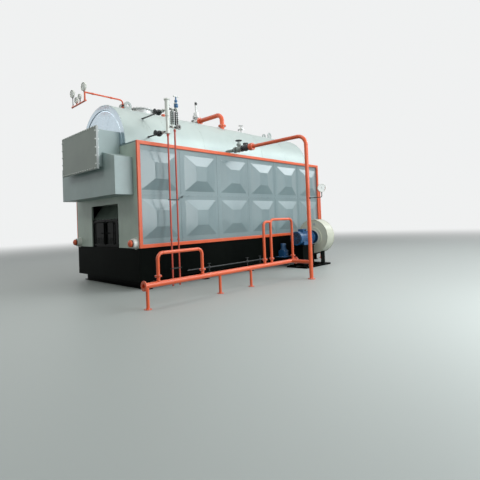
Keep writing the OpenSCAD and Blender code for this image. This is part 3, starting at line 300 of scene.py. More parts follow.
def add_box(bm, corner, opposite):
    spans = [sorted(pair) for pair in zip(corner, opposite)]
    points = [bm.verts.new((x, y, z)) for x in spans[0] for y in spans[1] for z in spans[2]]
    for loop in ((0, 1, 3, 2), (4, 6, 7, 5), (0, 4, 5, 1), (2, 3, 7, 6), (0, 2, 6, 4), (1, 5, 7, 3)):
        bm.faces.new([points[i] for i in loop])


def add_rod(bm, start, end, radius, sides=24, end_radius=None):
    start, end = Vector(start), Vector(end)
    place = Matrix.Translation((start + end) / 2) @ turn_to(end - start)
    bmesh.ops.create_cone(bm, cap_ends=True, segments=sides, radius1=radius,
                          radius2=radius if end_radius is None else end_radius,
                          depth=(end - start).length, matrix=place)


def add_bolt(bm, at, axis, size):
    """A washer, a hexagon head and the stud's end, size being the stud's diameter."""
    at, axis = Vector(at), Vector(axis).normalized() * size
    for start, end, radius, sides in ((0, 0.2, 1.05, 14), (0.2, 0.95, 0.88, 6), (0.95, 1.25, 0.45, 8)):
        add_rod(bm, at + axis * start, at + axis * end, size * radius, sides)


def screw_row(bm, start, end, spacing, outward, size):
    span = Vector(end) - Vector(start)
    count = max(1, round(span.length / spacing))
    for i in range(count):
        add_bolt(bm, Vector(start) + span * ((i + 0.5) / count), outward, size)


def finished(bm, name, material, body="boiler", bevel=0.0, segments=2, smooth=35, crease=40,
             stands_for=()):
    """Turns the mesh into a piece of the object, with its edges rounded by the bevel."""
    bmesh.ops.recalc_face_normals(bm, faces=bm.faces)
    mesh = bpy.data.meshes.new(name)
    bm.to_mesh(mesh)
    bm.free()
    mesh.shade_smooth()
    mesh.set_sharp_from_angle(angle=math.radians(smooth))
    mesh.materials.append(material)
    piece = bpy.data.objects.new(name, mesh)
    bpy.context.scene.collection.objects.link(piece)
    if bevel:
        rounding = piece.modifiers.new("rounding", "BEVEL")
        rounding.width = bevel
        rounding.segments = segments
        rounding.limit_method = "ANGLE"
        rounding.angle_limit = math.radians(crease)
        rounding.harden_normals = True
    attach(piece, body)
    if stands_for:
        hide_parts(*stands_for)
    return piece


casing_paint = coated("casing_paint", (0.226, 0.312, 0.326), (0.196, 0.272, 0.286), (0.45, 0.50, 0.50), 0.30,
                      coat=0.42, dust=0.20, streaks=0.08, rub=0.35, wave=0.30)
front_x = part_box("casing_front")[0].x
rear_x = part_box("casing_rear")[1].x
case_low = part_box("casing_front")[0].z
case_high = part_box("casing_roof")[1].z
side_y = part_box("casing_roof")[1].y
panel_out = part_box("casing_far")[1].y
roof_t = 0.040
wall_t = 0.060
panel_columns = 6
rib_w = 0.260
rib_h = 0.248
pitch = (rear_x - front_x) / panel_columns
panel_w = pitch - rib_w
panel_h = (case_high - case_low - 3 * rib_h) / 2
flat_w = 0.430
flat_h = 0.460
strip_w = 0.070
strip_t = 0.006
strip_screw = 0.008
screw_step = 0.19
bar_w = 0.100
rows = (case_low + rib_h + panel_h / 2, case_high - rib_h - panel_h / 2)
middle = (rows[0] + rows[1]) / 2
columns = [front_x + (i + 0.5) * pitch for i in range(panel_columns)]
seams = [front_x + i * pitch for i in range(1, panel_columns)]


def pressed_panel(bm, x, z, side):
    signs = ((-1, -1), (1, -1), (1, 1), (-1, 1))
    outer, inner = ([bm.verts.new((x + sx * width / 2, side * y, z + sz * height / 2)) for sx, sz in signs]
                    for width, height, y in ((panel_w, panel_h, side_y), (flat_w, flat_h, panel_out)))
    back = [bm.verts.new((v.co.x, side * (side_y - 0.02), v.co.z)) for v in outer]
    bm.faces.new(inner)
    for i in range(4):
        j = (i + 1) % 4
        bm.faces.new((outer[i], outer[j], inner[j], inner[i]))
        bm.faces.new((back[i], back[j], outer[j], outer[i]))
    bm.faces.new(back)


for side, label in ((-1, "near"), (1, "far")):
    wall_y = side * side_y
    face = side * (side_y + strip_t)
    bm = bmesh.new()
    add_box(bm, (front_x + wall_t, side * (side_y - wall_t), case_low),
            (rear_x - wall_t, wall_y, case_high - roof_t))
    for x in columns:
        for z in rows:
            pressed_panel(bm, x, z, side)
    finished(bm, "side_panels_" + label, casing_paint, bevel=0.009, segments=3, crease=8,
             stands_for=("casing_" + label,))
    bm = bmesh.new()
    for x in seams:
        add_box(bm, (x - strip_w / 2, wall_y, case_low + bar_w), (x + strip_w / 2, face, case_high - bar_w))
    for x in columns:
        start = max(x - pitch / 2 + strip_w / 2, front_x + bar_w)
        end = min(x + pitch / 2 - strip_w / 2, rear_x - bar_w)
        add_box(bm, (start, wall_y, middle - strip_w / 2), (end, face, middle + strip_w / 2))
    finished(bm, "cover_strips_" + label, casing_paint, bevel=0.002)
    bm = bmesh.new()
    for x in seams:
        screw_row(bm, (x, face, case_low + 0.12), (x, face, case_high - 0.12), screw_step, (0, side, 0),
                  strip_screw)
    screw_row(bm, (front_x + 0.15, face, middle), (rear_x - 0.15, face, middle), screw_step, (0, side, 0),
              strip_screw)
    finished(bm, "strip_screws_" + label, casing_paint)


# End walls and roof: flat insulated sheet on the same frame, the rear and the roof in the sides' paint.
# The front wall has the furnace opening cut through it, and the rear wall the hole of the flue.
def dressed(node, material, bevel=0.004, body="boiler", segments=2, crease=40):
    """The CAD piece itself with rounded edges, standing for the node."""
    source = nodes[node].data
    bm = bmesh.new()
    points = [bm.verts.new(v.co) for v in source.vertices]
    for polygon in source.polygons:
        corners = [points[i] for i in polygon.vertices]
        if len(set(corners)) == len(corners):
            try:
                bm.faces.new(corners)
            except ValueError:
                pass
    bmesh.ops.remove_doubles(bm, verts=bm.verts, dist=0.00002)
    bmesh.ops.dissolve_limit(bm, angle_limit=math.radians(0.4), verts=bm.verts, edges=bm.edges)
    return finished(bm, node + "_form", material, body, bevel, segments, crease=crease,
                    stands_for=(node,))


# The front wall's paint is a lighter, greener copy of the casing's paint: painted light for the shaded front, with the
# green cast of the light there.
front_wall_painted_light = coated("front_wall_painted_light", (0.600, 0.690, 0.610), (0.445, 0.525, 0.455), (0.46, 0.50, 0.49),
                          0.42, coat=0.10, dust=0.20, streaks=0.12, wave=0.2)
dressed("casing_front", front_wall_painted_light, bevel=0.006)
for wall in ("casing_rear", "casing_roof"):
    dressed(wall, casing_paint, bevel=0.006)

# Orange frames: square tube welded round each long side, which holds the panels' edges.
# The corners are mitred, with a weld bead across each.
safety_orange = coated("safety_orange", (0.90, 0.140, 0.042), (0.82, 0.118, 0.036), (0.42, 0.10, 0.05), 0.34,
                       coat=0.15, dust=0.25, streaks=0.06, rub=0.5, wave=0.06, dust_colour=(0.55, 0.33, 0.25))
dressed("side_frames", safety_orange, bevel=0.010, segments=3)
frame_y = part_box("side_frames")[1].y
bead_r = 0.005
bm = bmesh.new()
for side in (-1, 1):
    bead_y = side * (frame_y - 0.002)
    for x, inward in ((front_x, 1), (rear_x, -1)):
        for z, up in ((case_low, 1), (case_high, -1)):
            add_rod(bm, (x + inward * 0.010, bead_y, z + up * 0.010),
                    (x + inward * (bar_w - 0.004), bead_y, z + up * (bar_w - 0.004)), bead_r, 10)
finished(bm, "frame_welds", safety_orange)


# Drum cladding: a half-round jacket of thin sheet over the insulated drum, in sheets one panel long.
# The sheets meet under narrow straps that are screwed down.
def out_from_x(turn):
    """A unit vector square to X, turned up from +Y."""
    return Vector((0, math.cos(turn), math.sin(turn)))


def skin(bm, rings, closed=True, capped=False, looped=False):
    """Faces between neighbouring rings of points; looped also joins the last ring to the first."""
    count = len(rings[0])
    for a, b in zip(rings, rings[1:] + (rings[:1] if looped else [])):
        for i in range(count if closed else count - 1):
            j = (i + 1) % count
            bm.faces.new((a[i], b[i], b[j], a[j]))
    if capped:
        bm.faces.new(rings[0])
        bm.faces.new(rings[-1])


drum_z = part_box("drum_cladding")[0].z
drum_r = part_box("drum_cladding")[1].y
drum_top = drum_z + drum_r
arc_steps = 96
jacket_t = 0.040
strap_half = 0.025
strap_rise = 0.003
strap_screws = 21
sheet_metal = coated("drum_sheet", (0.53, 0.61, 0.58), (0.47, 0.55, 0.53), (0.50, 0.54, 0.53), 0.46,
                     metal=0.22, dust=0.25, streaks=0.08, rub=0.2, wave=0.5, dust_colour=(0.56, 0.55, 0.52))


def half_ring(bm, x0, x1, inner, outer):
    """A half-round sheet over the drum from x0 to x1."""
    turns = [math.pi * i / arc_steps for i in range(arc_steps + 1)]
    skin(bm, [[bm.verts.new((x, r * math.cos(turn), drum_z + r * math.sin(turn)))
               for x, r in ((x0, inner), (x0, outer), (x1, outer), (x1, inner))] for turn in turns],
               capped=True)


bm = bmesh.new()
for x in columns:
    half_ring(bm, x - pitch / 2, x + pitch / 2, drum_r - jacket_t, drum_r)
finished(bm, "drum_jacket", sheet_metal, bevel=0.003, crease=60, stands_for=("drum_cladding",))
straps, screws = bmesh.new(), bmesh.new()
for x in [front_x + 0.03] + seams + [rear_x - 0.03]:
    half_ring(straps, x - strap_half, x + strap_half, drum_r - 0.001, drum_r + strap_rise)
    for i in range(1, strap_screws + 1):
        out = out_from_x(math.pi * i / (strap_screws + 1))
        add_bolt(screws, Vector((x, 0, drum_z)) + out * (drum_r + strap_rise), out, 0.007)
finished(straps, "drum_straps", sheet_metal, bevel=0.001, crease=60)
finished(screws, "drum_screws", sheet_metal)

# Drum heads: bright unpainted sheet, a smooth shallow dish set back behind a sloping rim.
# The dish is made of gores with flat lapped seams, and the rim catches the light on its far side.
head_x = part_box("drum_front_head")[0].x
rim_width = 0.155
dish_edge = drum_r - rim_width
dish_rise = 0.036
dish_ball = (dish_edge ** 2 + dish_rise ** 2) / (2 * dish_rise)
gores = 6
seam_half = 0.009
bright_sheet = coated("bright_sheet", (0.66, 0.76, 0.84), (0.56, 0.67, 0.76), (0.75, 0.78, 0.80), 0.26,
                      metal=0.85, dust=0.12, streaks=0.10, rub=0.1, wave=0.30, peel=0.05)


def dish_x(radius):
    return head_x + 0.004 - dish_rise + dish_ball - math.sqrt(dish_ball ** 2 - radius ** 2)


def half_turned(bm, profile, end, z):
    """Turns an open (x, radius) profile through the upper half circle; end is -1 for the rear head."""
    turns = [math.pi * i / arc_steps for i in range(arc_steps + 1)]
    skin(bm, [[bm.verts.new((x * end, r * math.cos(turn), z + r * math.sin(turn))) for x, r in profile]
              for turn in turns], closed=False)


dish_profile = [(dish_x(r) - 0.004 * (r / dish_edge) ** 8, r)
                for r in (0.001 + (dish_edge - 0.003) * k / 24 for k in range(25))]
rim_profile = [(front_x + 0.002, drum_r - 0.004), (front_x - 0.001, drum_r - 0.010),
               (front_x + 0.002, drum_r - 0.018),
               (head_x - 0.014, dish_edge + 0.006), (head_x - 0.010, dish_edge - 0.004),
               (head_x + 0.002, dish_edge - 0.002)]
for end, label in ((1, "front"), (-1, "rear")):
    base_z = drum_z + 0.001
    for name, profile, stands_for in (("drum_head_", dish_profile, ("drum_" + label + "_head",)),
                                      ("drum_rim_", rim_profile, ())):
        bm = bmesh.new()
        half_turned(bm, profile, end, base_z)
        sheet = finished(bm, name + label, bright_sheet, smooth=30, stands_for=stands_for)
        shell = sheet.modifiers.new("sheet", "SOLIDIFY")
        shell.thickness = 0.003
        shell.offset = 0
    bm = bmesh.new()
    for g in range(1, gores):
        out = out_from_x(math.pi * g / gores)
        side_step = out_from_x(math.pi * g / gores + math.pi / 2)
        rings = []
        for radius in (0.02 + (dish_edge - 0.030) * k / 14 for k in range(15)):
            points = [(out * radius + side_step * step, proud) for step, proud in (
                (-seam_half, -0.003), (-seam_half, 0.004), (seam_half, 0.004), (seam_half, -0.003))]
            rings.append([bm.verts.new(((dish_x(radius) - proud) * end, p.y, base_z + p.z)) for p,
                          proud in points])
        skin(bm, rings, capped=True)
    finished(bm, "head_seams_" + label, bright_sheet, bevel=0.001)

# Smokeboxes: two welded plate boxes on the front wall, the lower one with sloping shoulders.
# A thick cover is bolted all round to the upper one's flange over a dark gasket.
# The boxes' paint is a lighter copy of the casing's paint; the extra lightness is painted light for their brightly lit
# sides.
box_painted_light = coated("box_painted_light", (0.425, 0.520, 0.512), (0.348, 0.430, 0.430), (0.48, 0.52, 0.51), 0.44,
                   coat=0.08, dust=0.15, streaks=0.08, rub=0.5, wave=0.15)
# The cover's paint is a darker, greener copy of the same paint: painted shade on the cover's front face.
cover_painted_shade = coated("cover_painted_shade", (0.305, 0.345, 0.310), (0.250, 0.285, 0.260), (0.48, 0.50, 0.49), 0.46,
                     coat=0.05, dust=0.15, streaks=0.10, wave=0.1)
# This pale paint is painted highlight on the cover's and flange's lit edges; the fan's collar uses it too.
edge_highlight_and_collar_paint = coated("edge_highlight_and_collar_paint", (0.66, 0.70, 0.69), (0.58, 0.62, 0.61), (0.40, 0.41, 0.40), 0.38,
                    dust=0.10, streaks=0.05)
# Black for the joints between flanges and round the cover, and as painted shade in the gaps behind the header caps.
gasket_and_gap_shade_black = coated("gasket_and_gap_shade_black", (0.012, 0.012, 0.012), (0.008, 0.008, 0.008), (0.02, 0.02, 0.02), 0.7,
                      dust=0.1, rub=0.0)
zinc = coated("zinc", (0.86, 0.88, 0.86), (0.74, 0.76, 0.74), (0.55, 0.55, 0.53), 0.36,
              metal=0.25, dust=0.15, peel=0.2)
for box_node in ("smokebox_lower", "smokebox_upper"):
    dressed(box_node, box_painted_light, bevel=0.008)
dressed("smokebox_cover", cover_painted_shade, bevel=0.004)
cover_low, cover_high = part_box("smokebox_cover")
flange_back = cover_high.x + 0.036
gasket_out = 0.003
band_t = 0.003
cover_inset = 0.026
cover_bolt = 0.021
bm = bmesh.new()
add_box(bm, (cover_high.x - gasket_out, cover_low.y - gasket_out, cover_low.z - gasket_out),
        (cover_high.x + gasket_out, cover_high.y + gasket_out, cover_high.z + gasket_out))
finished(bm, "cover_gasket", gasket_and_gap_shade_black)
# Pale bands over the cover's and flange's edges: painted highlight.
bm = bmesh.new()
for x0, x1 in ((cover_low.x + 0.002, cover_high.x - 0.002), (cover_high.x + 0.004, flange_back - 0.002)):
    for side, z in ((-1, cover_low.z), (1, cover_high.z)):
        y = cover_high.y * side
        add_box(bm, (x0, y, cover_low.z), (x1, y + band_t * side, cover_high.z))
        add_box(bm, (x0, cover_low.y, z), (x1, cover_high.y, z + band_t * side))
finished(bm, "cover_edge_highlight_bands", edge_highlight_and_collar_paint, bevel=0.001)
bm = bmesh.new()
bolt_y = (cover_low.y + cover_inset, cover_high.y - cover_inset)
bolt_z = (cover_low.z + cover_inset, cover_high.z - cover_inset)
for x, outward in ((cover_low.x, -1), (flange_back, 1)):
    for z in bolt_z:
        screw_row(bm, (x, bolt_y[0], z), (x, bolt_y[1], z), 0.150, (outward, 0, 0), cover_bolt)
    for y in bolt_y:
        screw_row(bm, (x, y, bolt_z[0]), (x, y, bolt_z[1]), 0.220, (outward, 0, 0), cover_bolt)
finished(bm, "cover_bolts", zinc)

# Base: the black box of plates that houses the chain grate, on its skid beams, with the deck inside.
# Rolled plate and beams, brushed with heat-resisting black; the deck carries rows of cast grate bars.
black_paint = coated("black_paint", (0.0045, 0.0060, 0.0050), (0.002, 0.003, 0.0025), (0.05, 0.05, 0.045),
                     0.42,
                     dust=0.10, streaks=0.05, wave=0.3, shine=0.02, dust_colour=(0.022, 0.024, 0.021))
for base_node in ("skid_beams", "base_sides", "base_ends", "grate_deck"):
    dressed(base_node, black_paint, bevel=0.005)
deck_low, deck_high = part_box("grate_deck")
grate_half = 0.72
grate_margin = 0.1
grate_step = 0.046
grate_gap = 0.007
bm = bmesh.new()
for i in range(int((deck_high.x - deck_low.x - 2 * grate_margin) / grate_step)):
    x = deck_low.x + grate_margin + i * grate_step
    add_box(bm, (x, -grate_half, deck_high.z - 0.004), (x + grate_step - grate_gap, grate_half,
                                                        deck_high.z + 0.018))
finished(bm, "grate_bars", black_paint, bevel=0.002, segments=1)


# Furnace front: a plate set back in the opening carries two hinged fire doors on pins, with bars across them.
# Above the doors a sloping plate closes the opening; all of it is blackened by heat, and the plate's lighter
# grey-green is painted reflection.
def add_path(bm, corners, radius, bend=0.05, sides=20, steps=8):
    """A round bar or pipe along the corners, turned to the bend radius at each of them."""
    line = [Vector(corners[0])]
    for before, corner, after in zip(corners, corners[1:], corners[2:]):
        corner = Vector(corner)
        a = (Vector(before) - corner).normalized()
        b = (Vector(after) - corner).normalized()
        half = a.angle(b) / 2
        centre = corner + (a + b).normalized() * bend / math.sin(half)
        start = corner + a * bend / math.tan(half) - centre
        stop = corner + b * bend / math.tan(half) - centre
        line += [centre + start.slerp(stop, i / steps).normalized() * bend for i in range(steps + 1)]
    line.append(Vector(corners[-1]))
    parts = [(b - a).normalized() for a, b in zip(line, line[1:])]
    headings = [parts[0]] + [(a + b).normalized() for a, b in zip(parts, parts[1:])] + [parts[-1]]
    beside = headings[0].orthogonal().normalized()
    turns = [2 * math.pi * i / sides for i in range(sides)]
    rings = []
    for point, direction in zip(line, headings):
        beside = (beside - direction * beside.dot(direction)).normalized()
        over = direction.cross(beside)
        rings.append([bm.verts.new(point + (beside * math.cos(turn) + over * math.sin(turn)) * radius)
                      for turn in turns])
    skin(bm, rings, capped=True)


def rod_x(bm, x0, x1, y, z, radius, sides=24):
    add_rod(bm, (x0, y, z), (x1, y, z), radius, sides)


def rod_y(bm, x, y0, y1, z, radius, sides=24):
    add_rod(bm, (x, y0, z), (x, y1, z), radius, sides)


def rod_z(bm, x, y, z0, z1, radius, sides=24):
    add_rod(bm, (x, y, z0), (x, y, z1), radius, sides)


# The sloping plate's paint is much lighter than the heat-blackened doors: painted reflection.
chute_painted_reflection = coated("chute_painted_reflection", (0.300, 0.350, 0.305), (0.10, 0.13, 0.11), (0.10, 0.11, 0.10), 0.30,
                     streaks=0.3, wave=0.5, dust_colour=(0.10, 0.12, 0.105))
door_paint = coated("door_paint", (0.006, 0.009, 0.008), (0.003, 0.0045, 0.004), (0.07, 0.068, 0.062), 0.19,
                    dust=0.06, streaks=0.08, wave=0.3, shine=0.04, dust_colour=(0.07, 0.07, 0.065))
dressed("door_frame", door_paint, bevel=0.003)
dressed("chute_plate", chute_painted_reflection, bevel=0.004)
leaf_low, leaf_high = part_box("door_near")
plate_x = front_x + wall_t
plate_half = 0.862
leaf_face = plate_x - 0.006 - 0.022
frame_bolt = 0.012
bar_r = 0.013
bar_in = 0.055
rod_step = 0.161
bm = bmesh.new()
band_z = leaf_high.z + 0.035
screw_row(bm, (plate_x, -0.80, band_z), (plate_x, 0.80, band_z), 0.20, (-1, 0, 0), frame_bolt)
for y in (-plate_half, plate_half):
    screw_row(bm, (plate_x, y, case_low + 0.06), (plate_x, y, leaf_high.z), 0.20, (-1, 0, 0), frame_bolt)
finished(bm, "door_frame_bolts", black_paint)
for side, label, bar_out in ((-1, "near", 0.53), (1, "far", 0.70)):
    dressed("door_" + label, door_paint, bevel=0.003, body="fire_door_" + label)
    bm = bmesh.new()
    bar_x = leaf_face - bar_r - 0.012
    low_z = leaf_low.z + 0.05
    top_z = leaf_high.z - 0.055
    add_path(bm, [(bar_x, side * bar_out, low_z), (bar_x, side * bar_out, top_z),
                  (bar_x, side * bar_in, top_z), (bar_x, side * bar_in, low_z)], bar_r, 0.07)
    for z in (low_z + 0.02, (low_z + top_z) / 2, top_z - 0.06):
        for y in (bar_out, bar_in):
            rod_x(bm, bar_x, leaf_face - 0.001, side * y, z, bar_r * 0.8, 12)
    for i in range(1, 4):
        rod_z(bm, leaf_face - 0.022, side * (bar_in + rod_step * i), low_z + 0.02, low_z + 0.20, 0.006, 10)
    finished(bm, "door_bars_" + label, black_paint, body="fire_door_" + label)


# Header ends: the closed ends of the lower side headers, white tube welded through the wall.
# Each has an orange hand-hole cap held by a nut on its stud; the black ring between tube and cap is painted shade in
# the gap.
def add_lathe(bm, origin, axis, profile, steps=48):
    """A turned shape: pairs of distance along the axis and radius, closed at both ends."""
    place = Matrix.Translation(Vector(origin)) @ turn_to(axis)
    turns = [2 * math.pi * i / steps for i in range(steps)]
    skin(bm, [[bm.verts.new(place @ Vector((radius * math.cos(turn), radius * math.sin(turn), along)))
               for turn in turns] for along, radius in profile], capped=True)


def add_ring(bm, centre, axis, radius, thickness, steps=48, sides=10, ripple=0.0):
    """A round bar bent to a ring; with a ripple it is a weld bead."""
    place = Matrix.Translation(Vector(centre)) @ turn_to(axis)
    rings = []
    for i in range(steps):
        turn = 2 * math.pi * i / steps
        thick = thickness * (1 + ripple * math.sin(2.1 * i))
        rings.append([])
        for k in range(sides):
            roll = 2 * math.pi * k / sides
            reach = radius + thick * math.cos(roll)
            point = Vector((reach * math.cos(turn), reach * math.sin(turn), thick * math.sin(roll)))
            rings[-1].append(bm.verts.new(place @ point))
    skin(bm, rings, looped=True)


white_enamel = coated("white_enamel", (0.93, 0.93, 0.88), (0.85, 0.85, 0.80), (0.35, 0.33, 0.30), 0.28,
                      coat=0.3, dust=0.35, streaks=0.15, rub=0.5)
end_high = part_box("header_ends")[1]
header_r = 0.135
header_y = end_high.y - header_r
header_z = end_high.z - header_r
tube_len = end_high.x - rear_x
cap_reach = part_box("header_caps")[1].x - rear_x
tubes, gap_shade, caps = bmesh.new(), bmesh.new(), bmesh.new()
for end in (-1, 1):
    out = Vector((end, 0, 0))
    for side in (-1, 1):
        foot = Vector((end * rear_x, side * header_y, header_z))
        add_lathe(tubes, foot, out, [
            (-0.02, header_r), (tube_len - 0.035, header_r), (tube_len - 0.020, header_r * 0.985),
            (tube_len - 0.008, header_r * 0.94), (tube_len - 0.001, header_r * 0.86),
            (tube_len, header_r * 0.76), (tube_len, 0.098), (tube_len - 0.012, 0.095),
            (tube_len - 0.012, 0.01)], 64)
        add_ring(tubes, foot + out * 0.006, out, header_r + 0.003, 0.009, 96, 8, 0.12)
        add_ring(tubes, foot + out * 0.003, out, header_r + 0.030, 0.007, 96, 8)
        # A black ring in the gap between tube end and cap: painted shade.
        add_lathe(gap_shade, foot, out, [(tube_len - 0.011, 0.094), (tube_len + 0.026, 0.094),
                                      (tube_len + 0.026, 0.01)])
        add_lathe(caps, foot, out, [
            (tube_len + 0.026, 0.096), (tube_len + 0.032, 0.100), (tube_len + 0.046, 0.100),
            (cap_reach - 0.040, 0.086), (cap_reach - 0.024, 0.060), (cap_reach - 0.020, 0.040),
            (cap_reach - 0.020, 0.004)])
        add_rod(caps, foot + out * (cap_reach - 0.021), foot + out * (cap_reach - 0.004), 0.024, 6)
        add_rod(caps, foot + out * (cap_reach - 0.005), foot + out * cap_reach, 0.010, 16)
finished(tubes, "header_tubes", white_enamel, smooth=50, stands_for=("header_ends",))
finished(gap_shade, "header_gap_shade", gasket_and_gap_shade_black)
finished(caps, "hand_hole_caps", safety_orange, smooth=32, stands_for=("header_caps",))


# Level gear: the water column on two arms from the drum, each arm with a shut-off valve and a union.
# Beside it hang two reflex gauges, plate bodies bolted over thick glass, with cocks and a blow-off valve.
def bolt_circle(bm, centre, axis, ring, count, size):
    centre, axis = Vector(centre), Vector(axis).normalized()
    beside = axis.orthogonal().normalized()
    for i in range(count):
        add_bolt(bm, centre + Matrix.Rotation(2 * math.pi * (i + 0.5) / count, 3, axis) @ beside * ring,
                 axis, size)


def bolt_pair(bm, low, high, ring, count, size):
    """A ring of bolts through a flange pair, with heads on both outer faces."""
    along = Vector(high) - Vector(low)
    bolt_circle(bm, high, along, ring, count, size)
    bolt_circle(bm, low, -along, ring, count, size)


def weld(bm, place, axis, radius, size, steps=96):
    add_ring(bm, place, axis, radius, size, steps, 8, 0.15)


def add_wheel(bm, centre, axis, radius, rim, spokes=5):
    """A handwheel: rim, spokes, hub and the nut that holds it on its stem."""
    centre, axis = Vector(centre), Vector(axis).normalized()
    beside = axis.orthogonal().normalized()
    add_ring(bm, centre, axis, radius - rim, rim, 56, 12)
    add_rod(bm, centre - axis * rim * 0.95, centre + axis * rim * 0.95, radius * 0.24, 28)
    add_rod(bm, centre + axis * rim * 0.95, centre + axis * rim * 1.9, radius * 0.13, 6)
    for i in range(spokes):
        out = Matrix.Rotation(2 * math.pi * i / spokes, 3, axis) @ beside
        add_rod(bm, centre + out * radius * 0.2, centre + out * (radius - rim), rim * 0.62, 10)


def slotted_plate(bm, low, high, side_bar, end_bar):
    """A plate across Y with a tall rectangular hole, its bars being side_bar and end_bar wide."""
    front_out, front_in, back_out, back_in = ([bm.verts.new(p) for p in (
        (low[0] + dx, y, low[2] + dz), (high[0] - dx, y, low[2] + dz),
        (high[0] - dx, y, high[2] - dz), (low[0] + dx, y, high[2] - dz))]
        for y in (low[1], high[1]) for dx, dz in ((0, 0), (side_bar, end_bar)))
    for i in range(4):
        j = (i + 1) % 4
        bm.faces.new((front_out[i], front_out[j], front_in[j], front_in[i]))
        bm.faces.new((back_out[j], back_out[i], back_in[i], back_in[j]))
        bm.faces.new((front_out[j], front_out[i], back_out[i], back_out[j]))
        bm.faces.new((front_in[i], front_in[j], back_in[j], back_in[i]))


bare_steel = coated("bare_steel", (0.62, 0.63, 0.63), (0.48, 0.49, 0.49), (0.75, 0.75, 0.73), 0.36,
                    metal=0.8, dust=0.2, peel=0.25)
column_paint = coated("column_paint", (0.82, 0.84, 0.78), (0.74, 0.76, 0.71), (0.30, 0.29, 0.27), 0.34,
                      metal=0.1, coat=0.2, streaks=0.2, rub=0.5)
valve_black = coated("valve_black", (0.020, 0.024, 0.026), (0.012, 0.014, 0.016), (0.16, 0.15, 0.14), 0.40,
                     coat=0.15, streaks=0.05, rub=0.6, wave=0.1, peel=0.5, peel_scale=90.0,
                     dust_colour=(0.20, 0.20, 0.19))
gauge_grey = coated("gauge_grey", (0.34, 0.38, 0.36), (0.26, 0.30, 0.28), (0.20, 0.20, 0.19), 0.38,
                    metal=0.2, streaks=0.1, rub=0.6, peel=0.4)
valve_blue = coated("valve_blue", (0.05, 0.20, 0.42), (0.03, 0.13, 0.30), (0.25, 0.25, 0.24), 0.32,
                    coat=0.3, dust=0.2, streaks=0.05, rub=0.5)
drain_red = coated("drain_red", (0.66, 0.095, 0.055), (0.56, 0.075, 0.045), (0.25, 0.10, 0.07), 0.42,
                   streaks=0.1, rub=0.5)
wet_glass = coated("wet_glass", (0.006, 0.014, 0.010), (0.005, 0.010, 0.008), (0.01, 0.02, 0.015), 0.06,
                   coat=1.0, dust=0.1, streaks=0.1, rub=0.0, peel=0.0)
dry_glass = coated("dry_glass", (0.50, 0.56, 0.55), (0.42, 0.48, 0.47), (0.5, 0.5, 0.5), 0.08,
                   metal=0.6, coat=1.0, dust=0.1, streaks=0.1, rub=0.0, peel=0.0)
col_x = front_x + 0.790
col_y = -side_y - 0.400
col_z = case_high + 0.200
foot_r = 0.048
body_r = 0.062
arm_r = 0.022
arm_heights = (col_z + 0.085, col_z + 0.695)
arm_valve_y = -side_y + 0.010
union_y = -side_y - 0.230
bm, bolts = bmesh.new(), bmesh.new()
add_lathe(bm, (col_x, col_y, col_z), (0, 0, 1), [
    (0, 0.030), (0, 0.070), (0.003, 0.072), (0.026, 0.072), (0.030, 0.066), (0.034, 0.050), (0.040, foot_r),
    (0.488, foot_r), (0.500, 0.053), (0.512, body_r), (0.915, body_r), (0.935, 0.066), (0.948, 0.076),
    (0.952, 0.084), (0.978, 0.084), (0.985, 0.080), (0.985, 0.004)], 56)
for z, r in zip(arm_heights, (foot_r, body_r)):
    add_rod(bm, (col_x, col_y + r * 0.8, z), (col_x, col_y + r + 0.034, z), 0.036, 32, 0.030)
    add_rod(bm, (col_x + r * 0.8, col_y, z + 0.13), (col_x + r + 0.024, col_y, z + 0.13), 0.032, 32, 0.027)
bolt_circle(bolts, (col_x, col_y, col_z + 0.985), (0, 0, 1), 0.066, 6, 0.011)
bolt_circle(bolts, (col_x, col_y, col_z + 0.030), (0, 0, 1), 0.060, 4, 0.008)
finished(bm, "column_body", column_paint, smooth=32, stands_for=("water_column",))
finished(bolts, "column_bolts", bare_steel)
arms, bolts, unions, folds = (bmesh.new() for i in range(4))
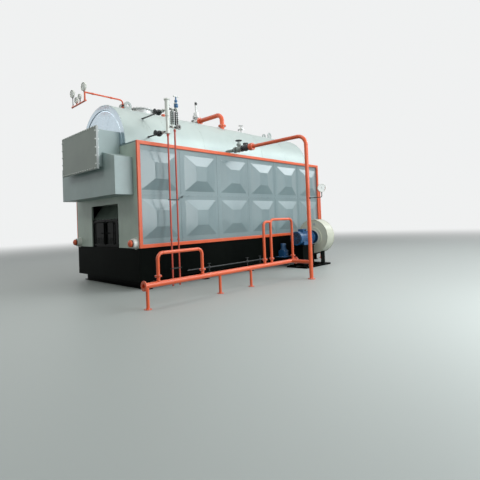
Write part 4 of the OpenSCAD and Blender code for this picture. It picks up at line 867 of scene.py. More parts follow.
for z in arm_heights:
    rise = (z - drum_z) / drum_r
    reach = -drum_r * math.sqrt(1 - rise * rise)
    rod_y(arms, col_x, col_y + 0.05, reach + 0.02, z, arm_r, 28)
    weld(arms, (col_x, reach - 0.002, z), (0, -math.sqrt(1 - rise * rise), rise), arm_r + 0.006, 0.006, 48)
    add_lathe(arms, (col_x, arm_valve_y - 0.090, z), (0, 1, 0), [
        (0, 0.030), (0, 0.060), (0.001, 0.062), (0.010, 0.062), (0.0105, 0.057), (0.0125, 0.057),
        (0.013, 0.062), (0.022, 0.062), (0.024, 0.036), (0.030, 0.050), (0.044, 0.072), (0.064, 0.083), (0.090, 0.086),
        (0.116, 0.083), (0.136, 0.072), (0.150, 0.050), (0.156, 0.038), (0.158, 0.062), (0.167, 0.062),
        (0.1675, 0.057), (0.1695, 0.057), (0.170, 0.062), (0.179, 0.062), (0.180, 0.060), (0.180, 0.030)], 40)
    for y in (arm_valve_y - 0.090, arm_valve_y + 0.068):
        bolt_pair(bolts, (col_x, y, z), (col_x, y + 0.022, z), 0.0475, 4, 0.0075)
    add_lathe(arms, (col_x - 0.045, arm_valve_y, z), (-1, 0, 0), [
        (0, 0.052), (0.024, 0.052), (0.025, 0.058), (0.031, 0.058), (0.032, 0.044), (0.050, 0.040),
        (0.060, 0.024), (0.062, 0.012), (0.091, 0.012)], 32)
    bolt_circle(bolts, (col_x - 0.076, arm_valve_y, z), (-1, 0, 0), 0.051, 6, 0.006)
    add_wheel(arms, (col_x - 0.136, arm_valve_y, z), (-1, 0, 0), 0.085, 0.013)
    rod_x(arms, col_x - 0.134, col_x - 0.138, arm_valve_y, z, 0.064, 40)
    for start, end, radius, sides in ((0, 0.018, 0.036, 24), (0.016, 0.054, 0.052, 8),
                                      (0.053, 0.070, 0.036, 24)):
        rod_y(unions, col_x, union_y + start, union_y + end, z, radius, sides)
    root = math.asin(rise)
    for across_run in (-0.26, 0.06, 0.30):
        run = [Vector((col_x + across_run * i / 10, 0, drum_z))
               + out_from_x(math.pi - root + (root - 0.03) * i / 10) * (drum_r - 0.002) for i in range(9)]
        for i, (a, b) in enumerate(zip(run, run[1:])):
            add_rod(folds, a, b, 0.009 - 0.0008 * i, 12)
finished(arms, "column_arms", valve_black, bevel=0.001, smooth=32)
finished(bolts, "arm_valve_bolts", bare_steel)
finished(unions, "arm_unions", column_paint, bevel=0.001, smooth=32)
finished(folds, "jacket_folds", sheet_metal)

gauge_x = col_x + 0.240
left_x = gauge_x - 0.075
right_x = gauge_x + 0.075
glass_low = col_z + 0.285
glass_high = col_z + 0.670
water_z = glass_low + 0.215
cock_low = glass_low - 0.070
cock_high = glass_high + 0.050
body_half = 0.042
glass_half = 0.0145
nut_out = 0.030
body_front = col_y - 0.031
body_back = col_y + 0.031
pale_body, dark_body, rods, cocks, dark_nuts, pale_nuts, wet, dry, wheel = (bmesh.new() for i in range(9))
for x, bodies, nuts, above in ((left_x, pale_body, dark_nuts, wet), (right_x, dark_body, pale_nuts, dry)):
    add_box(bodies, (x - body_half, col_y - 0.010, glass_low + 0.004),
            (x + body_half, body_back, glass_high - 0.004))
    slotted_plate(bodies, (x - body_half, body_front, glass_low), (x + body_half, col_y - 0.011, glass_high),
                  0.028, 0.038)
    add_box(wet, (x - glass_half, col_y - 0.022, glass_low + 0.036), (x + glass_half, col_y - 0.009, water_z))
    add_box(above, (x - glass_half, col_y - 0.022, water_z), (x + glass_half, col_y - 0.009,
                                                              glass_high - 0.036))
    for nut_x in (x - nut_out, x + nut_out):
        for y, out in ((body_front, -1), (body_back, 1)):
            screw_row(nuts, (nut_x, y, glass_low + 0.004), (nut_x, y, glass_high - 0.004), 0.0535,
                      (0, out, 0), 0.013)
    for low, high in ((cock_low, glass_low), (glass_high, cock_high)):
        rod_z(cocks, x, col_y, low, high, 0.016)
        rod_z(cocks, x, col_y, (low + high) / 2 - 0.013, (low + high) / 2 + 0.015, 0.028, 6)
    for z, turn in ((cock_low, 1), (cock_high, -1)):
        add_lathe(cocks, (x, col_y + 0.038, z), (0, -1, 0), [
            (0, 0.010), (0.001, 0.020), (0.010, 0.030), (0.028, 0.038), (0.048, 0.038), (0.062, 0.030),
            (0.068, 0.020), (0.090, 0.018), (0.091, 0.004)], 28)
        add_path(cocks, [(x, col_y - 0.050, z - 0.008 * turn), (x, col_y - 0.062, z),
                         (x, col_y - 0.062, z - 0.060)], 0.006, 0.008, 12, 4)
for z, r in ((cock_low, foot_r), (cock_high, body_r)):
    rod_x(rods, col_x + r * 0.8, right_x, col_y, z, 0.022, 28)
    for x in (col_x + r + 0.012, gauge_x + 0.012):
        rod_x(rods, x - 0.014, x + 0.016, col_y, z, 0.036, 6)
rod_z(cocks, gauge_x, col_y, glass_low - 0.130, cock_low, 0.018)
rod_z(cocks, gauge_x, col_y, glass_low - 0.118, glass_low - 0.094, 0.028, 6)
rod_y(cocks, right_x, col_y - 0.090, col_y - 0.113, cock_low, 0.010, 16)
add_wheel(wheel, (right_x, col_y - 0.105, cock_low), (0, -1, 0), 0.070, 0.010, 4)
rod_y(wheel, right_x, col_y - 0.106, col_y - 0.102, cock_low, 0.052, 40)
add_ring(cocks, (right_x, col_y - 0.112, cock_low), (0, -1, 0), 0.050, 0.006)
finished(dark_body, "gauge_body_right", valve_black, bevel=0.003, stands_for=("level_gauge",))
finished(pale_body, "gauge_body_left", gauge_grey, bevel=0.003)
finished(wheel, "gauge_wheel", valve_black, smooth=32)
finished(rods, "gauge_rods", valve_black, bevel=0.001, smooth=32)
finished(cocks, "gauge_cocks", column_paint, bevel=0.001, smooth=32)
finished(dark_nuts, "gauge_nuts_left", valve_black)
finished(pale_nuts, "gauge_nuts_right", zinc)
finished(wet, "glass_below_water", wet_glass, bevel=0.001)
finished(dry, "glass_above_water", dry_glass, bevel=0.001)
cock_top = cock_high + 0.060
bm, trim = bmesh.new(), bmesh.new()
for start, end, radius, sides in ((-0.060, 0.002, 0.024, 28), (-0.030, 0.006, 0.046, 8),
                                  (0.118, 0.138, 0.064, 40)):
    rod_z(trim, right_x, col_y, cock_top + start, cock_top + end, radius, sides)
add_lathe(bm, (right_x, col_y, cock_top), (0, 0, 1), [
    (0, 0.022), (0.003, 0.050), (0.016, 0.050), (0.018, 0.040), (0.030, 0.054), (0.056, 0.064), (0.084, 0.060),
    (0.096, 0.048), (0.098, 0.060), (0.118, 0.060), (0.120, 0.044), (0.176, 0.040), (0.184, 0.034),
    (0.186, 0.046), (0.226, 0.046), (0.232, 0.022), (0.290, 0.020), (0.322, 0.016)], 40)
rod_z(bm, right_x, col_y, cock_top + 0.300, cock_top + 0.318, 0.020, 6)
for start, end, radius in ((-0.080, 0.080, 0.016), (-0.070, -0.080, 0.020), (0.070, 0.080, 0.020)):
    rod_x(trim, right_x + start, right_x + end, col_y, cock_top + 0.330, radius, 20)
finished(bm, "blow_off_valve", valve_blue, bevel=0.001, smooth=32)
finished(trim, "blow_off_trim", column_paint, bevel=0.001, smooth=32)
drain_r = 0.024
clamp_heights = (0.540, 2.450)
stay_x = gauge_x + 0.480
stay_z = 2.570
pipes, clamps = bmesh.new(), bmesh.new()
for x, top in ((col_x, col_z), (gauge_x, glass_low - 0.130)):
    rod_z(pipes, x, col_y, 0.060, top, drain_r, 28)
    for z in (top - 0.055, 1.31):
        rod_z(pipes, x, col_y, z, z + 0.045, 0.036, 6)
        rod_z(pipes, x, col_y, z - 0.012, z + 0.057, 0.030)
for z in clamp_heights:
    for side in (-1, 1):
        add_box(clamps, (col_x - 0.050, col_y + side * 0.0245, z - 0.014),
                (gauge_x + 0.050, col_y + side * 0.0300, z + 0.014))
    for x in (col_x - 0.034, col_x + 0.034, gauge_x - 0.034, gauge_x + 0.034):
        rod_y(clamps, x, col_y - 0.036, col_y + 0.036, z, 0.005, 10)
        rod_y(clamps, x, col_y - 0.037, col_y - 0.030, z, 0.009, 6)
for z, end in zip(clamp_heights, ((gauge_x + 0.010, -side_y, clamp_heights[0]), (stay_x, -side_y, stay_z))):
    add_rod(clamps, (gauge_x, col_y + 0.020, z), end, 0.009, 20)
rod_y(clamps, stay_x, -side_y - 0.006, -side_y, stay_z, 0.030)
finished(pipes, "drain_pipes", drain_red, bevel=0.001, stands_for=("level_drains",))
finished(clamps, "drain_clamps", valve_black, bevel=0.001)

# Gauge line: a thin orange pipe from a pad on the drum top to a bar across the front, where the dials stand.
# It has a stop cock at its foot, bends without fittings and a socket under each dial.
dressed("gauge_line", safety_orange, bevel=0.001)
line_x = front_x + 0.745
line_front = front_x - 0.490
line_z = drum_top + 0.330
bar_z = line_z - 0.260
socket_y = (0.040, 0.330, 0.560, 0.840)
bm = bmesh.new()
bolt_circle(bm, (line_x, 0, drum_top + 0.040), (0, 0, 1), 0.078, 6, 0.012)
finished(bm, "line_pad_bolts", bare_steel)
bm = bmesh.new()
rod_z(bm, line_x, 0, drum_top + 0.120, drum_top + 0.170, 0.046, 6)
rod_y(bm, line_x, -0.075, 0, drum_top + 0.145, 0.012, 16)
rod_z(bm, line_x, -0.078, drum_top + 0.125, drum_top + 0.205, 0.009, 12)
finished(bm, "line_cock", valve_black, bevel=0.001)
bm = bmesh.new()
for x in (front_x + 0.35, front_x - 0.25):
    rod_x(bm, x - 0.03, x + 0.03, 0, line_z, 0.032)
for y in socket_y:
    rod_z(bm, line_front, y, bar_z + 0.018, bar_z + 0.050, 0.019, 6)
for y in (-0.062, 0.880):
    rod_y(bm, line_front, y, y + 0.022, bar_z, 0.030, 6)
finished(bm, "line_sockets", safety_orange, bevel=0.001)


# Pressure gauges: round dials of four sizes in pale cases on stems from the bar, one beside the feed pipe.
# Pressed steel cases with a rolled rim, a white face with printed marks, and a black pointer.
def dial_out(leftward, degrees):
    """The way out from a dial's middle, at so many degrees clockwise from the start of its scale."""
    sweep = math.radians(degrees - 135)
    return Vector((0, 0, 1)) * math.cos(sweep) - leftward * math.sin(sweep)


case_ivory = coated("dial_case_paint", (0.84, 0.85, 0.78), (0.72, 0.73, 0.66), (0.35, 0.33, 0.28), 0.32,
                    coat=0.2, streaks=0.1)
dial_face = coated("dial_face", (0.95, 0.96, 0.93), (0.90, 0.91, 0.88), (0.8, 0.8, 0.8), 0.45, dust=0.05,
                   rub=0.0)
dial_ink = coated("dial_ink", (0.015, 0.015, 0.018), (0.012, 0.012, 0.014), (0.02, 0.02, 0.02), 0.5,
                  dust=0.0, rub=0.0)
dial_red = coated("dial_red", (0.60, 0.03, 0.02), (0.52, 0.02, 0.02), (0.5, 0.03, 0.02), 0.5, dust=0.0,
                  rub=0.0)
pipe_x = front_x + 4.000
pipe_y = -side_y - 2.800
branch_y = pipe_y - 0.465
branch_z = 2.380
mark_step = 9
dials = [((line_front, y, bar_z + up), r, 0, reading) for y, (up, r, reading) in zip(socket_y, (
    (0.430, 0.130, 150), (0.210, 0.075, 40), (0.150, 0.095, 120), (0.420, 0.120, 95)))]
dials.append(((pipe_x, branch_y, 2.640), 0.120, 45, 110))
cases, faces, marks, limits, stems = (bmesh.new() for i in range(5))
for place, r, turned, reading in dials:
    turn = Matrix.Rotation(math.radians(turned), 3, "Z")
    facing = turn @ Vector((-1, 0, 0))
    leftward = turn @ Vector((0, 1, 0))
    place = Vector(place)
    add_lathe(cases, place, facing, [
        (-0.030, 0.02), (-0.030, r * 0.86), (-0.025, r * 0.95), (-0.016, r), (0.020, r), (0.024, r * 0.985),
        (0.026, r), (0.034, r), (0.038, r * 0.96), (0.038, r * 0.90), (0.034, r * 0.87), (0.026, r * 0.87)],
        64)
    add_rod(cases, place - facing * 0.030, place - facing * 0.026, r * 0.3, 32)
    add_rod(faces, place + facing * 0.0262, place + facing * 0.0272, r * 0.87, 64)
    flat = [(mark_step * i, 0.0278, 0.62, 0.77, 0.009, 0.009) if i % 5 == 0
            else (mark_step * i, 0.0278, 0.69, 0.77, 0.004, 0.004) for i in range(31)]
    flat.append((reading, 0.030, -0.2, 0.68, 0.022, 0.005))
    for degrees, proud, inner, outer, inner_half, outer_half in flat:
        out = dial_out(leftward, degrees)
        beside = facing.cross(out)
        start = place + facing * proud
        marks.faces.new([marks.verts.new(start + out * (r * d) + beside * (r * s)) for d, s in (
            (inner, -inner_half), (inner, inner_half), (outer, outer_half), (outer, -outer_half))])
    for i in range(24, 30):
        first, last = (dial_out(leftward, mark_step * (i + k)) for k in (0, 1))
        start = place + facing * 0.0276
        limits.faces.new([limits.verts.new(start + out * (r * d))
                          for out, d in ((first, 0.79), (last, 0.79), (last, 0.84), (first, 0.84))])
    add_rod(marks, place + facing * 0.0272, place + facing * 0.033, r * 0.06, 24)
    if turned:
        add_path(stems, [(pipe_x, pipe_y - 0.055, branch_z), (pipe_x, branch_y, branch_z),
                         place - Vector((0, 0, r * 0.9))], 0.011, 0.045)
        rod_y(stems, pipe_x, pipe_y - 0.050, pipe_y - 0.085, branch_z, 0.026)
        rod_y(stems, pipe_x, pipe_y - 0.220, pipe_y - 0.250, branch_z, 0.020, 6)
    else:
        rod_z(stems, place.x, place.y, bar_z + 0.020, place.z - r * 0.9, 0.011, 20)
        add_ring(stems, (place.x, place.y - 0.018, bar_z + 0.075), (1, 0, 0), 0.018, 0.006, 32)
    rod_z(stems, place.x, place.y, place.z - r - 0.034, place.z - r + 0.004, 0.018, 6)
finished(cases, "dial_cases", case_ivory, smooth=40, stands_for=("pressure_gauges",))
finished(faces, "dial_faces", dial_face)
finished(marks, "dial_marks", dial_ink, smooth=5)
finished(limits, "dial_limits", dial_red, smooth=5)
finished(stems, "dial_stems", valve_black, smooth=40)

# Steam line: a flanged nozzle on the drum, an elbow and a level pipe, and a blanked nozzle further forward.
# Welded steel tube sprayed orange; each flange pair has a joint ring between its faces and a ring of bolts.
aluminium_paint = coated("aluminium_paint", (0.66, 0.67, 0.66), (0.54, 0.55, 0.54), (0.32, 0.31, 0.29), 0.34,
                         metal=0.45, streaks=0.1, rub=0.5, peel=0.5, peel_scale=90.0)
dressed("steam_pipe", safety_orange, bevel=0.002, crease=60)
steam_x, steam_y, steam_z = front_x + 4.600, -0.550, drum_top + 0.440
steam_foot = 5.415
steam_bend = 0.250
blank_x = front_x + 2.300
bolts, gaskets, beads = (bmesh.new() for i in range(3))
bolt_circle(bolts, (steam_x, steam_y, steam_foot + 0.060), (0, 0, 1), 0.118, 8, 0.014)
bolt_circle(bolts, (steam_x, steam_y, steam_foot), (0, 0, -1), 0.118, 8, 0.012)
bolt_pair(bolts, (steam_x, 0.710, steam_z), (steam_x, 0.790, steam_z), 0.120, 8, 0.014)
bolt_pair(bolts, (blank_x, 0, drum_top + 0.096), (blank_x, 0, drum_top + 0.140), 0.060, 6, 0.010)
rod_z(gaskets, steam_x, steam_y, steam_foot + 0.0282, steam_foot + 0.0318, 0.138, 64)
rod_z(gaskets, blank_x, 0, drum_top + 0.1161, drum_top + 0.1199, 0.070, 48)
weld(beads, (steam_x, steam_y, steam_z - steam_bend), (0, 0, 1), 0.085, 0.005)
weld(beads, (steam_x, steam_y + steam_bend, steam_z), (0, 1, 0), 0.085, 0.005)
weld(beads, (steam_x, steam_y, steam_foot + 0.062), (0, 0, 1), 0.087, 0.007)
weld(beads, (steam_x, 0.707, steam_z), (0, 1, 0), 0.087, 0.007)
weld(beads, (blank_x, 0, drum_top + 0.003), (0, 0, 1), 0.046, 0.006, 64)
finished(bolts, "steam_line_bolts", bare_steel)
finished(gaskets, "steam_line_joints", gasket_and_gap_shade_black)
finished(beads, "steam_line_welds", safety_orange)

# Stop valve: a cast body with a bolted cover, its long stem kept under a tube with a dark cap.
# Sprayed with aluminium paint, its outlet flange open.
dressed("steam_valve", aluminium_paint, bevel=0.003, crease=50)
valve_y = 0.950
bm = bmesh.new()
bolt_pair(bm, (steam_x, valve_y, steam_z + 0.170), (steam_x, valve_y, steam_z + 0.252), 0.131, 12, 0.014)
for side in (-1, 1):
    add_bolt(bm, (steam_x + side * 0.078, valve_y, steam_z + 0.380), (0, 0, 1), 0.013)
finished(bm, "stop_valve_bolts", bare_steel)
bm = bmesh.new()
add_lathe(bm, (steam_x, valve_y, steam_z + 0.380), (0, 0, 1), [
    (-0.002, 0.062), (0.012, 0.062), (0.018, 0.056), (0.020, 0.050), (0.045, 0.050), (0.050, 0.044)], 40)
for z in (0.500, 0.620):
    add_ring(bm, (steam_x, valve_y, steam_z + z), (0, 0, 1), 0.042, 0.004, 56, 8)
finished(bm, "stop_valve_gland", aluminium_paint, smooth=40)
bm = bmesh.new()
add_lathe(bm, (steam_x, valve_y, steam_z + 0.702), (0, 0, 1), [
    (0, 0.050), (0.002, 0.0535), (0.100, 0.0535), (0.118, 0.048), (0.127, 0.036), (0.129, 0.004)])
finished(bm, "stem_cap", valve_black, smooth=40)

# Vent valve, manhole and lifting lugs on the drum top.
# The valve and the manhole cover are silver castings; the lugs are pale plates welded to the drum.
lug_paint = coated("lug_paint", (0.48, 0.52, 0.50), (0.42, 0.46, 0.44), (0.35, 0.35, 0.34), 0.42,
                   dust=0.25, streaks=0.1, rub=0.5)
dressed("vent_valve", aluminium_paint, bevel=0.002, crease=50)
dressed("manhole_cover", aluminium_paint, bevel=0.004, crease=50)
dressed("lifting_lugs", lug_paint, bevel=0.004)
vent_x, vent_y, vent_z = front_x + 6.020, -0.200, 5.595
hole_x = front_x + 1.420
handle_y = -0.120
bm = bmesh.new()
for side in (-1, 1):
    bolt_pair(bm, (vent_x, vent_y + side * 0.108, vent_z), (vent_x, vent_y + side * 0.130, vent_z), 0.040, 4,
              0.009)
finished(bm, "vent_bolts", bare_steel)
bm = bmesh.new()
bolt_pair(bm, (hole_x, 0, drum_top + 0.090), (hole_x, 0, drum_top + 0.120), 0.380, 20, 0.020)
finished(bm, "manhole_bolts", bare_steel)
bm = bmesh.new()
add_path(bm, [(hole_x + x, handle_y, drum_top + z)
              for x, z in ((-0.090, 0.160), (-0.090, 0.188), (0.090, 0.188), (0.090, 0.160))], 0.010, 0.016)
add_ring(bm, (hole_x, 0, drum_top + 0.105), (0, 0, 1), 0.409, 0.003, 128, 8)
finished(bm, "manhole_handle", aluminium_paint)
bm = bmesh.new()
for x in (front_x + 0.830, rear_x - 1.060):
    for y in (-0.176, -0.144, 0.144, 0.176):
        rod_x(bm, x - 0.124, x + 0.124, y, drum_z + math.sqrt(drum_r ** 2 - y ** 2) + 0.002, 0.008, 12)
finished(bm, "lug_welds", lug_paint)

# Feed line: from the drum a globe valve, a check valve and three orange flanges, then the pipe to the floor.
# Cast valves, the first one grey with a black handwheel and the second black, on welded orange tube.
dressed("feed_valve", gauge_grey, bevel=0.002, crease=50)
dressed("check_valve", valve_black, bevel=0.002, crease=50)
dressed("feed_pipe", safety_orange, bevel=0.002, crease=60)
feed_z = case_high + 0.170
valve_start = -side_y + 0.100
check_start = valve_start - 0.330
orange_start = check_start - 0.350
stem_y = valve_start - 0.165
cover_y = orange_start + 0.196
bolts, gaskets, beads, yoke, wheel = (bmesh.new() for i in range(5))
for low_y, high_y in ((valve_start - 0.033, valve_start + 0.033), (check_start - 0.038, check_start + 0.033)):
    bolt_pair(bolts, (pipe_x, low_y, feed_z), (pipe_x, high_y, feed_z), 0.088, 8, 0.011)
bolt_circle(bolts, (pipe_x, orange_start + 0.038, feed_z), (0, 1, 0), 0.088, 8, 0.011)
bolt_circle(bolts, (pipe_x, orange_start - 0.136, feed_z), (0, -1, 0), 0.100, 8, 0.013)
bolt_pair(bolts, (pipe_x, stem_y, feed_z + 0.132), (pipe_x, stem_y, feed_z + 0.1914), 0.068, 8, 0.009)
bolt_pair(bolts, (pipe_x, cover_y, feed_z + 0.100), (pipe_x, cover_y, feed_z + 0.160), 0.080, 8, 0.010)
bolt_circle(bolts, (pipe_x, pipe_y, 0.024), (0, 0, 1), 0.084, 8, 0.012)
for y in (orange_start - 0.044, orange_start - 0.092):
    rod_y(gaskets, pipe_x, y - 0.004, y + 0.004, feed_z, 0.110, 64)
for place, axis in (((pipe_x, pipe_y + 0.300, feed_z), (0, 1, 0)),
                    ((pipe_x, pipe_y, feed_z - 0.300), (0, 0, 1)),
                    ((pipe_x, pipe_y, 1.95), (0, 0, 1)), ((pipe_x, -3.6, feed_z), (0, 1, 0))):
    weld(beads, place, axis, 0.058, 0.0045)
weld(beads, (pipe_x, pipe_y, 0.026), (0, 0, 1), 0.059, 0.007)
for side in (-1, 1):
    add_rod(yoke, (pipe_x, stem_y + side * 0.066, feed_z + 0.185), (pipe_x, stem_y + side * 0.016,
                                                                    feed_z + 0.284),
            0.011, 12)
add_wheel(wheel, (pipe_x, stem_y, feed_z + 0.300), (0, 0, 1), 0.118, 0.017)
rod_y(wheel, pipe_x, valve_start + 0.100, valve_start + 0.034, feed_z, 0.062, 40)
finished(yoke, "feed_valve_yoke", zinc, smooth=32)
finished(wheel, "feed_valve_wheel", valve_black, smooth=32)
finished(bolts, "feed_line_bolts", bare_steel)
finished(gaskets, "feed_line_joints", gasket_and_gap_shade_black)
finished(beads, "feed_line_welds", safety_orange)

# Header and loops: an orange header on three legs near the floor, with inverted U pipes that rise from it.
# Each leg of a U has a flange pair at its foot, and the header's rear end is blanked off.
for pipe in ("feed_header", "loop_pipes", "rear_riser"):
    dressed(pipe, safety_orange, bevel=0.002, crease=60)
row_y = -side_y - 2.100
row_z = 0.500
end_x = pipe_x + 0.200
riser_x, riser_y, riser_z = rear_x + 0.340, -side_y + 0.150, 3.060
upright = (0, 0, 1)
bolts, gaskets, beads = (bmesh.new() for i in range(3))
for x in (front_x - 1.110, front_x + 0.980, front_x + 2.130):
    bolt_circle(bolts, (x, row_y, 0.012), upright, 0.062, 4, 0.011)
    for z in (0.014, row_z - 0.052):
        weld(beads, (x, row_y, z), upright, 0.038, 0.006, 64)
for along, top, inward in ((2.735, 1.730, 1), (3.050, 1.790, 1), (4.080, 1.790, -1), (-0.830, 1.160, 1),
                           (0.420, 1.160, -1)):
    x = front_x + along
    bolt_pair(bolts, (x, row_y, 0.650), (x, row_y, 0.682), 0.058, 4, 0.010)
    rod_z(gaskets, x, row_y, 0.6641, 0.6679, 0.070, 48)
    for z, radius, size in ((row_z + 0.054, 0.040, 0.006), (top - 0.130, 0.0385, 0.004),
                            (0.685, 0.040, 0.005)):
        weld(beads, (x, row_y, z), upright, radius, size, 64)
    weld(beads, (x + inward * 0.130, row_y, top), (1, 0, 0), 0.0385, 0.004, 64)
bolt_pair(bolts, (end_x, row_y, row_z), (end_x + 0.024, row_y, row_z), 0.090, 8, 0.013)
weld(beads, (end_x - 0.003, row_y, row_z), (1, 0, 0), 0.062, 0.006, 80)
weld(beads, (pipe_x, row_y - 0.054, row_z), (0, 1, 0), 0.056, 0.006, 80)
bolt_circle(bolts, (riser_x, riser_y, 0.024), upright, 0.090, 8, 0.013)
bolt_circle(bolts, (rear_x + 0.030, riser_y, riser_z), (1, 0, 0), 0.090, 8, 0.013)
for z in (riser_z - 0.160, 0.027):
    weld(beads, (riser_x, riser_y, z), upright, 0.061, 0.005, 80)
for x in (riser_x - 0.160, rear_x + 0.033):
    weld(beads, (x, riser_y, riser_z), (1, 0, 0), 0.061, 0.005, 80)
finished(bolts, "header_bolts", bare_steel)
finished(gaskets, "loop_joints", gasket_and_gap_shade_black)
finished(beads, "header_welds", safety_orange)

# Drain line: a thin dark pipe along the foot of the base, with three small cocks and screwed unions.
# Black-painted iron pipe, held to the base by clips.
dressed("drain_line", valve_black, bevel=0.001)
drain_y = -side_y - 0.150
drain_z = 0.385
bm = bmesh.new()
for x in (front_x + 1.9, front_x + 3.3, front_x + 4.5):
    rod_x(bm, x - 0.022, x + 0.022, drain_y, drain_z, 0.030, 6)
for x in (front_x + 2.360, front_x + 4.110, front_x + 4.770):
    for side in (-1, 1):
        rod_x(bm, x + side * 0.040, x + side * 0.066, drain_y, drain_z, 0.032, 6)
    rod_z(bm, x, drain_y, drain_z + 0.040, drain_z + 0.065, 0.026, 6)
finished(bm, "drain_fittings", valve_black, bevel=0.001)

# Grate drive: a gearbox and a small upright motor on a bracket, which turn the chain grate's shaft.
# Cast cases painted blue; the motor has cooling ribs and a hood over its own fan.
motor_blue = coated("motor_blue", (0.020, 0.120, 0.29), (0.013, 0.080, 0.20), (0.22, 0.22, 0.22), 0.34,
                    coat=0.15, dust=0.20, streaks=0.03, rub=0.5, dust_colour=(0.30, 0.31, 0.31))
dressed("grate_drive", motor_blue, bevel=0.005)
drive_x, drive_y, drive_z = front_x + 6.100, -side_y - 0.200, 0.620
rib_count = 28
rib_ring = 0.096
bm = bmesh.new()
for i in range(rib_count):
    turn = 2 * math.pi * i / rib_count
    rod_z(bm, drive_x + rib_ring * math.cos(turn), drive_y + rib_ring * math.sin(turn), drive_z + 0.034,
          drive_z + 0.165, 0.004, 6)
add_lathe(bm, (drive_x, drive_y, drive_z + 0.168), (0, 0, 1), [
    (0, 0.100), (0.004, 0.104), (0.058, 0.104), (0.072, 0.096), (0.078, 0.084), (0.078, 0.070)])
finished(bm, "drive_motor_ribs", motor_blue, smooth=40)
bm = bmesh.new()
bolt_circle(bm, (drive_x, drive_y, drive_z + 0.030), (0, 0, 1), 0.111, 6, 0.007)
bolt_circle(bm, (drive_x, drive_y - 0.160, 0.520), (0, -1, 0), 0.070, 6, 0.008)
for side in (-1, 1):
    for y in (-0.105, 0.105):
        add_bolt(bm, (drive_x + side * 0.1995, drive_y + y, 0.380), (0, 0, 1), 0.012)
    for z in (0.410, 0.590):
        add_bolt(bm, (drive_x + side * 0.105, drive_y - 0.130, z), (0, -1, 0), 0.010)
finished(bm, "drive_bolts", bare_steel)


# Draught fan: a volute of thin plate between two cheeks, with rolled rims and a pale collar round its eye.
# It stands on a bed of flat bars and blows down through a flanged elbow duct into the base.
def flat_ring(bm, x0, x1, inner, outer, steps=96):
    """A flat ring round the fan's shaft, from x0 to x1."""
    turns = [2 * math.pi * i / steps for i in range(steps)]
    skin(bm, [[bm.verts.new((x, fan_y + r * math.cos(turn), fan_z + r * math.sin(turn)))
               for x, r in ((x0, inner), (x1, inner), (x1, outer), (x0, outer))] for turn in turns],
               looped=True)


fan_cream = coated("fan_cream", (0.72, 0.73, 0.60), (0.64, 0.65, 0.53), (0.32, 0.28, 0.20), 0.34,
                   coat=0.2, dust=0.4, streaks=0.15, rub=0.5, wave=0.2, dust_colour=(0.55, 0.54, 0.48))
dressed("fan_scroll", fan_cream, bevel=0.002, crease=60)
dressed("fan_duct", fan_cream, bevel=0.002, crease=60)
dressed("fan_stand", black_paint, bevel=0.003)
fan_low, fan_high = front_x + 7.000, front_x + 7.470
fan_y, fan_z = -side_y - 0.960, 1.068
mouth_z = fan_z - 0.520
scroll_r = 0.600
scroll_growth = 0.098
outline = []
for swept in range(0, 301, 5):
    turn = math.radians(-60 - swept)
    radius = scroll_r + scroll_growth * swept / 360
    outline.append((fan_y + radius * math.cos(turn), fan_z + radius * math.sin(turn)))
outline.append((outline[-1][0], mouth_z + 0.014))
bm = bmesh.new()
for x in (fan_low, fan_high):
    add_path(bm, [(x, y, z) for y, z in outline], 0.011, 0.012, 10, 1)
finished(bm, "fan_rims", fan_cream)
mouth_low, mouth_high = fan_y + scroll_r / 2, fan_y + scroll_r + scroll_growth * 300 / 360
bm = bmesh.new()
for x in (fan_low - 0.007, fan_high + 0.007):
    for out in (-1, 1):
        z = mouth_z + out * 0.014
        screw_row(bm, (x, mouth_low, z), (x, mouth_high, z), 0.075, (0, 0, out), 0.006)
bolt_circle(bm, (fan_low - 0.032, fan_y, fan_z), (-1, 0, 0), 0.352, 16, 0.008)
bolt_circle(bm, (fan_high + 0.002, fan_y, fan_z), (1, 0, 0), 0.372, 16, 0.008)
finished(bm, "fan_screws", bare_steel)
bm = bmesh.new()
flat_ring(bm, fan_low - 0.032, fan_low - 0.021, 0.256, 0.376)
finished(bm, "fan_cover_ring", fan_cream, bevel=0.002, crease=60)
bm = bmesh.new()
flat_ring(bm, fan_low - 0.046, fan_low - 0.030, 0.246, 0.282)
finished(bm, "fan_collar", edge_highlight_and_collar_paint, bevel=0.003, crease=60)
bm = bmesh.new()
add_box(bm, (fan_low - 0.003, fan_y - 0.130, fan_z + 0.440), (fan_low + 0.001, fan_y - 0.010, fan_z + 0.515))
finished(bm, "fan_blank_plate", bare_steel, bevel=0.001)
bm = bmesh.new()
for y in (fan_y - 0.120, fan_y - 0.020):
    for z in (fan_z + 0.450, fan_z + 0.505):
        rod_x(bm, fan_low - 0.002, fan_low - 0.0055, y, z, 0.004, 12)
for x in (fan_low - 0.900, fan_low + 0.485):
    for y in (fan_y - 0.400, fan_y + 0.400):
        add_bolt(bm, (x, y, 0.060), (0, 0, 1), 0.014)
finished(bm, "fan_bed_bolts", bare_steel)

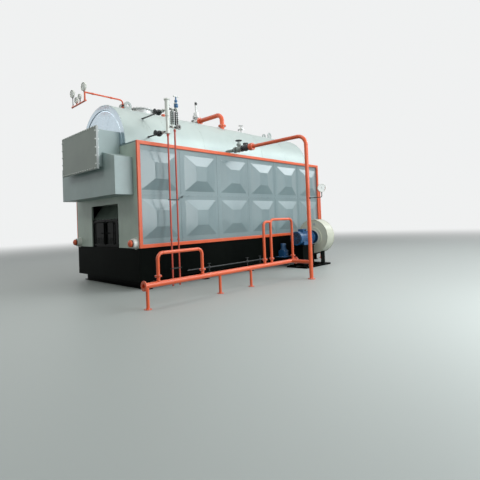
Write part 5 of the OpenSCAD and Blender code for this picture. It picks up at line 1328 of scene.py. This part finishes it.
# Fan motor: a ribbed case on the pedestal, with a hood over its cooling fan and a terminal box on top.
# Cast iron painted blue; the hood's middle is a grille over a dark navy disc, painted shade for the hood's inside.
# The navy disc behind the grille is painted shade for the dark inside of the hood.
hood_shade_paint = coated("hood_inside_painted_shade", (0.012, 0.022, 0.045), (0.008, 0.014, 0.030), (0.05, 0.05, 0.06), 0.5,
              dust=0.2, rub=0.2, dust_colour=(0.10, 0.11, 0.12))
dressed("fan_motor", motor_blue, bevel=0.002)
motor_x = fan_low - 1.120
box_low, box_high = motor_x + 0.300, motor_x + 0.540
box_top = fan_z + 0.330
gland_x = box_low + 0.120
gland_z = fan_z + 0.275
eye_x = motor_x + 0.640
bm = bmesh.new()
rod_x(bm, motor_x - 0.002, motor_x + 0.004, fan_y, fan_z, 0.205, 64)
finished(bm, "hood_inside_shade_disc", hood_shade_paint)
bm = bmesh.new()
for i in range(6):
    add_ring(bm, (motor_x - 0.006, fan_y, fan_z), (1, 0, 0), 0.045 + 0.032 * i, 0.0035, 72, 8)
for i in range(8):
    out = out_from_x(math.pi * i / 4)
    centre = Vector((motor_x - 0.004, fan_y, fan_z))
    add_rod(bm, centre + out * 0.040, centre + out * 0.210, 0.004, 8)
rod_x(bm, motor_x - 0.001, motor_x - 0.009, fan_y, fan_z, 0.045, 32)
for turn in (45, 135, 225, 315):
    out = out_from_x(math.radians(turn))
    centre = Vector((motor_x + 0.120, fan_y, fan_z))
    add_rod(bm, centre + out * 0.249, centre + out * 0.256, 0.008, 6)
finished(bm, "hood_grille", motor_blue)
bm = bmesh.new()
for x in (box_low + 0.015, box_high - 0.015):
    for y in (fan_y - 0.095, fan_y + 0.095):
        rod_z(bm, x, y, box_top - 0.002, box_top + 0.004, 0.007, 12)
for x in (motor_x + 0.240, motor_x + 0.700):
    for y in (fan_y - 0.206, fan_y + 0.206):
        add_bolt(bm, (x, y, fan_z - 0.112), (0, 0, 1), 0.014)
finished(bm, "motor_bolts", bare_steel)
bm = bmesh.new()
rod_y(bm, gland_x, fan_y - 0.110, fan_y - 0.145, gland_z, 0.026, 6)
rod_y(bm, gland_x, fan_y - 0.144, fan_y - 0.165, gland_z, 0.018)
rod_z(bm, eye_x, fan_y, fan_z + 0.222, fan_z + 0.252, 0.020, 6)
add_ring(bm, (eye_x, fan_y, fan_z + 0.282), (1, 0, 0), 0.028, 0.008, 40)
finished(bm, "motor_fittings", valve_black)

# Flue outlet: a short flanged spigot of plate on the rear wall, in the casing's paint.
# Its bore is open, and its flange is drilled all round.
dressed("flue_outlet", casing_paint, bevel=0.003, crease=60)
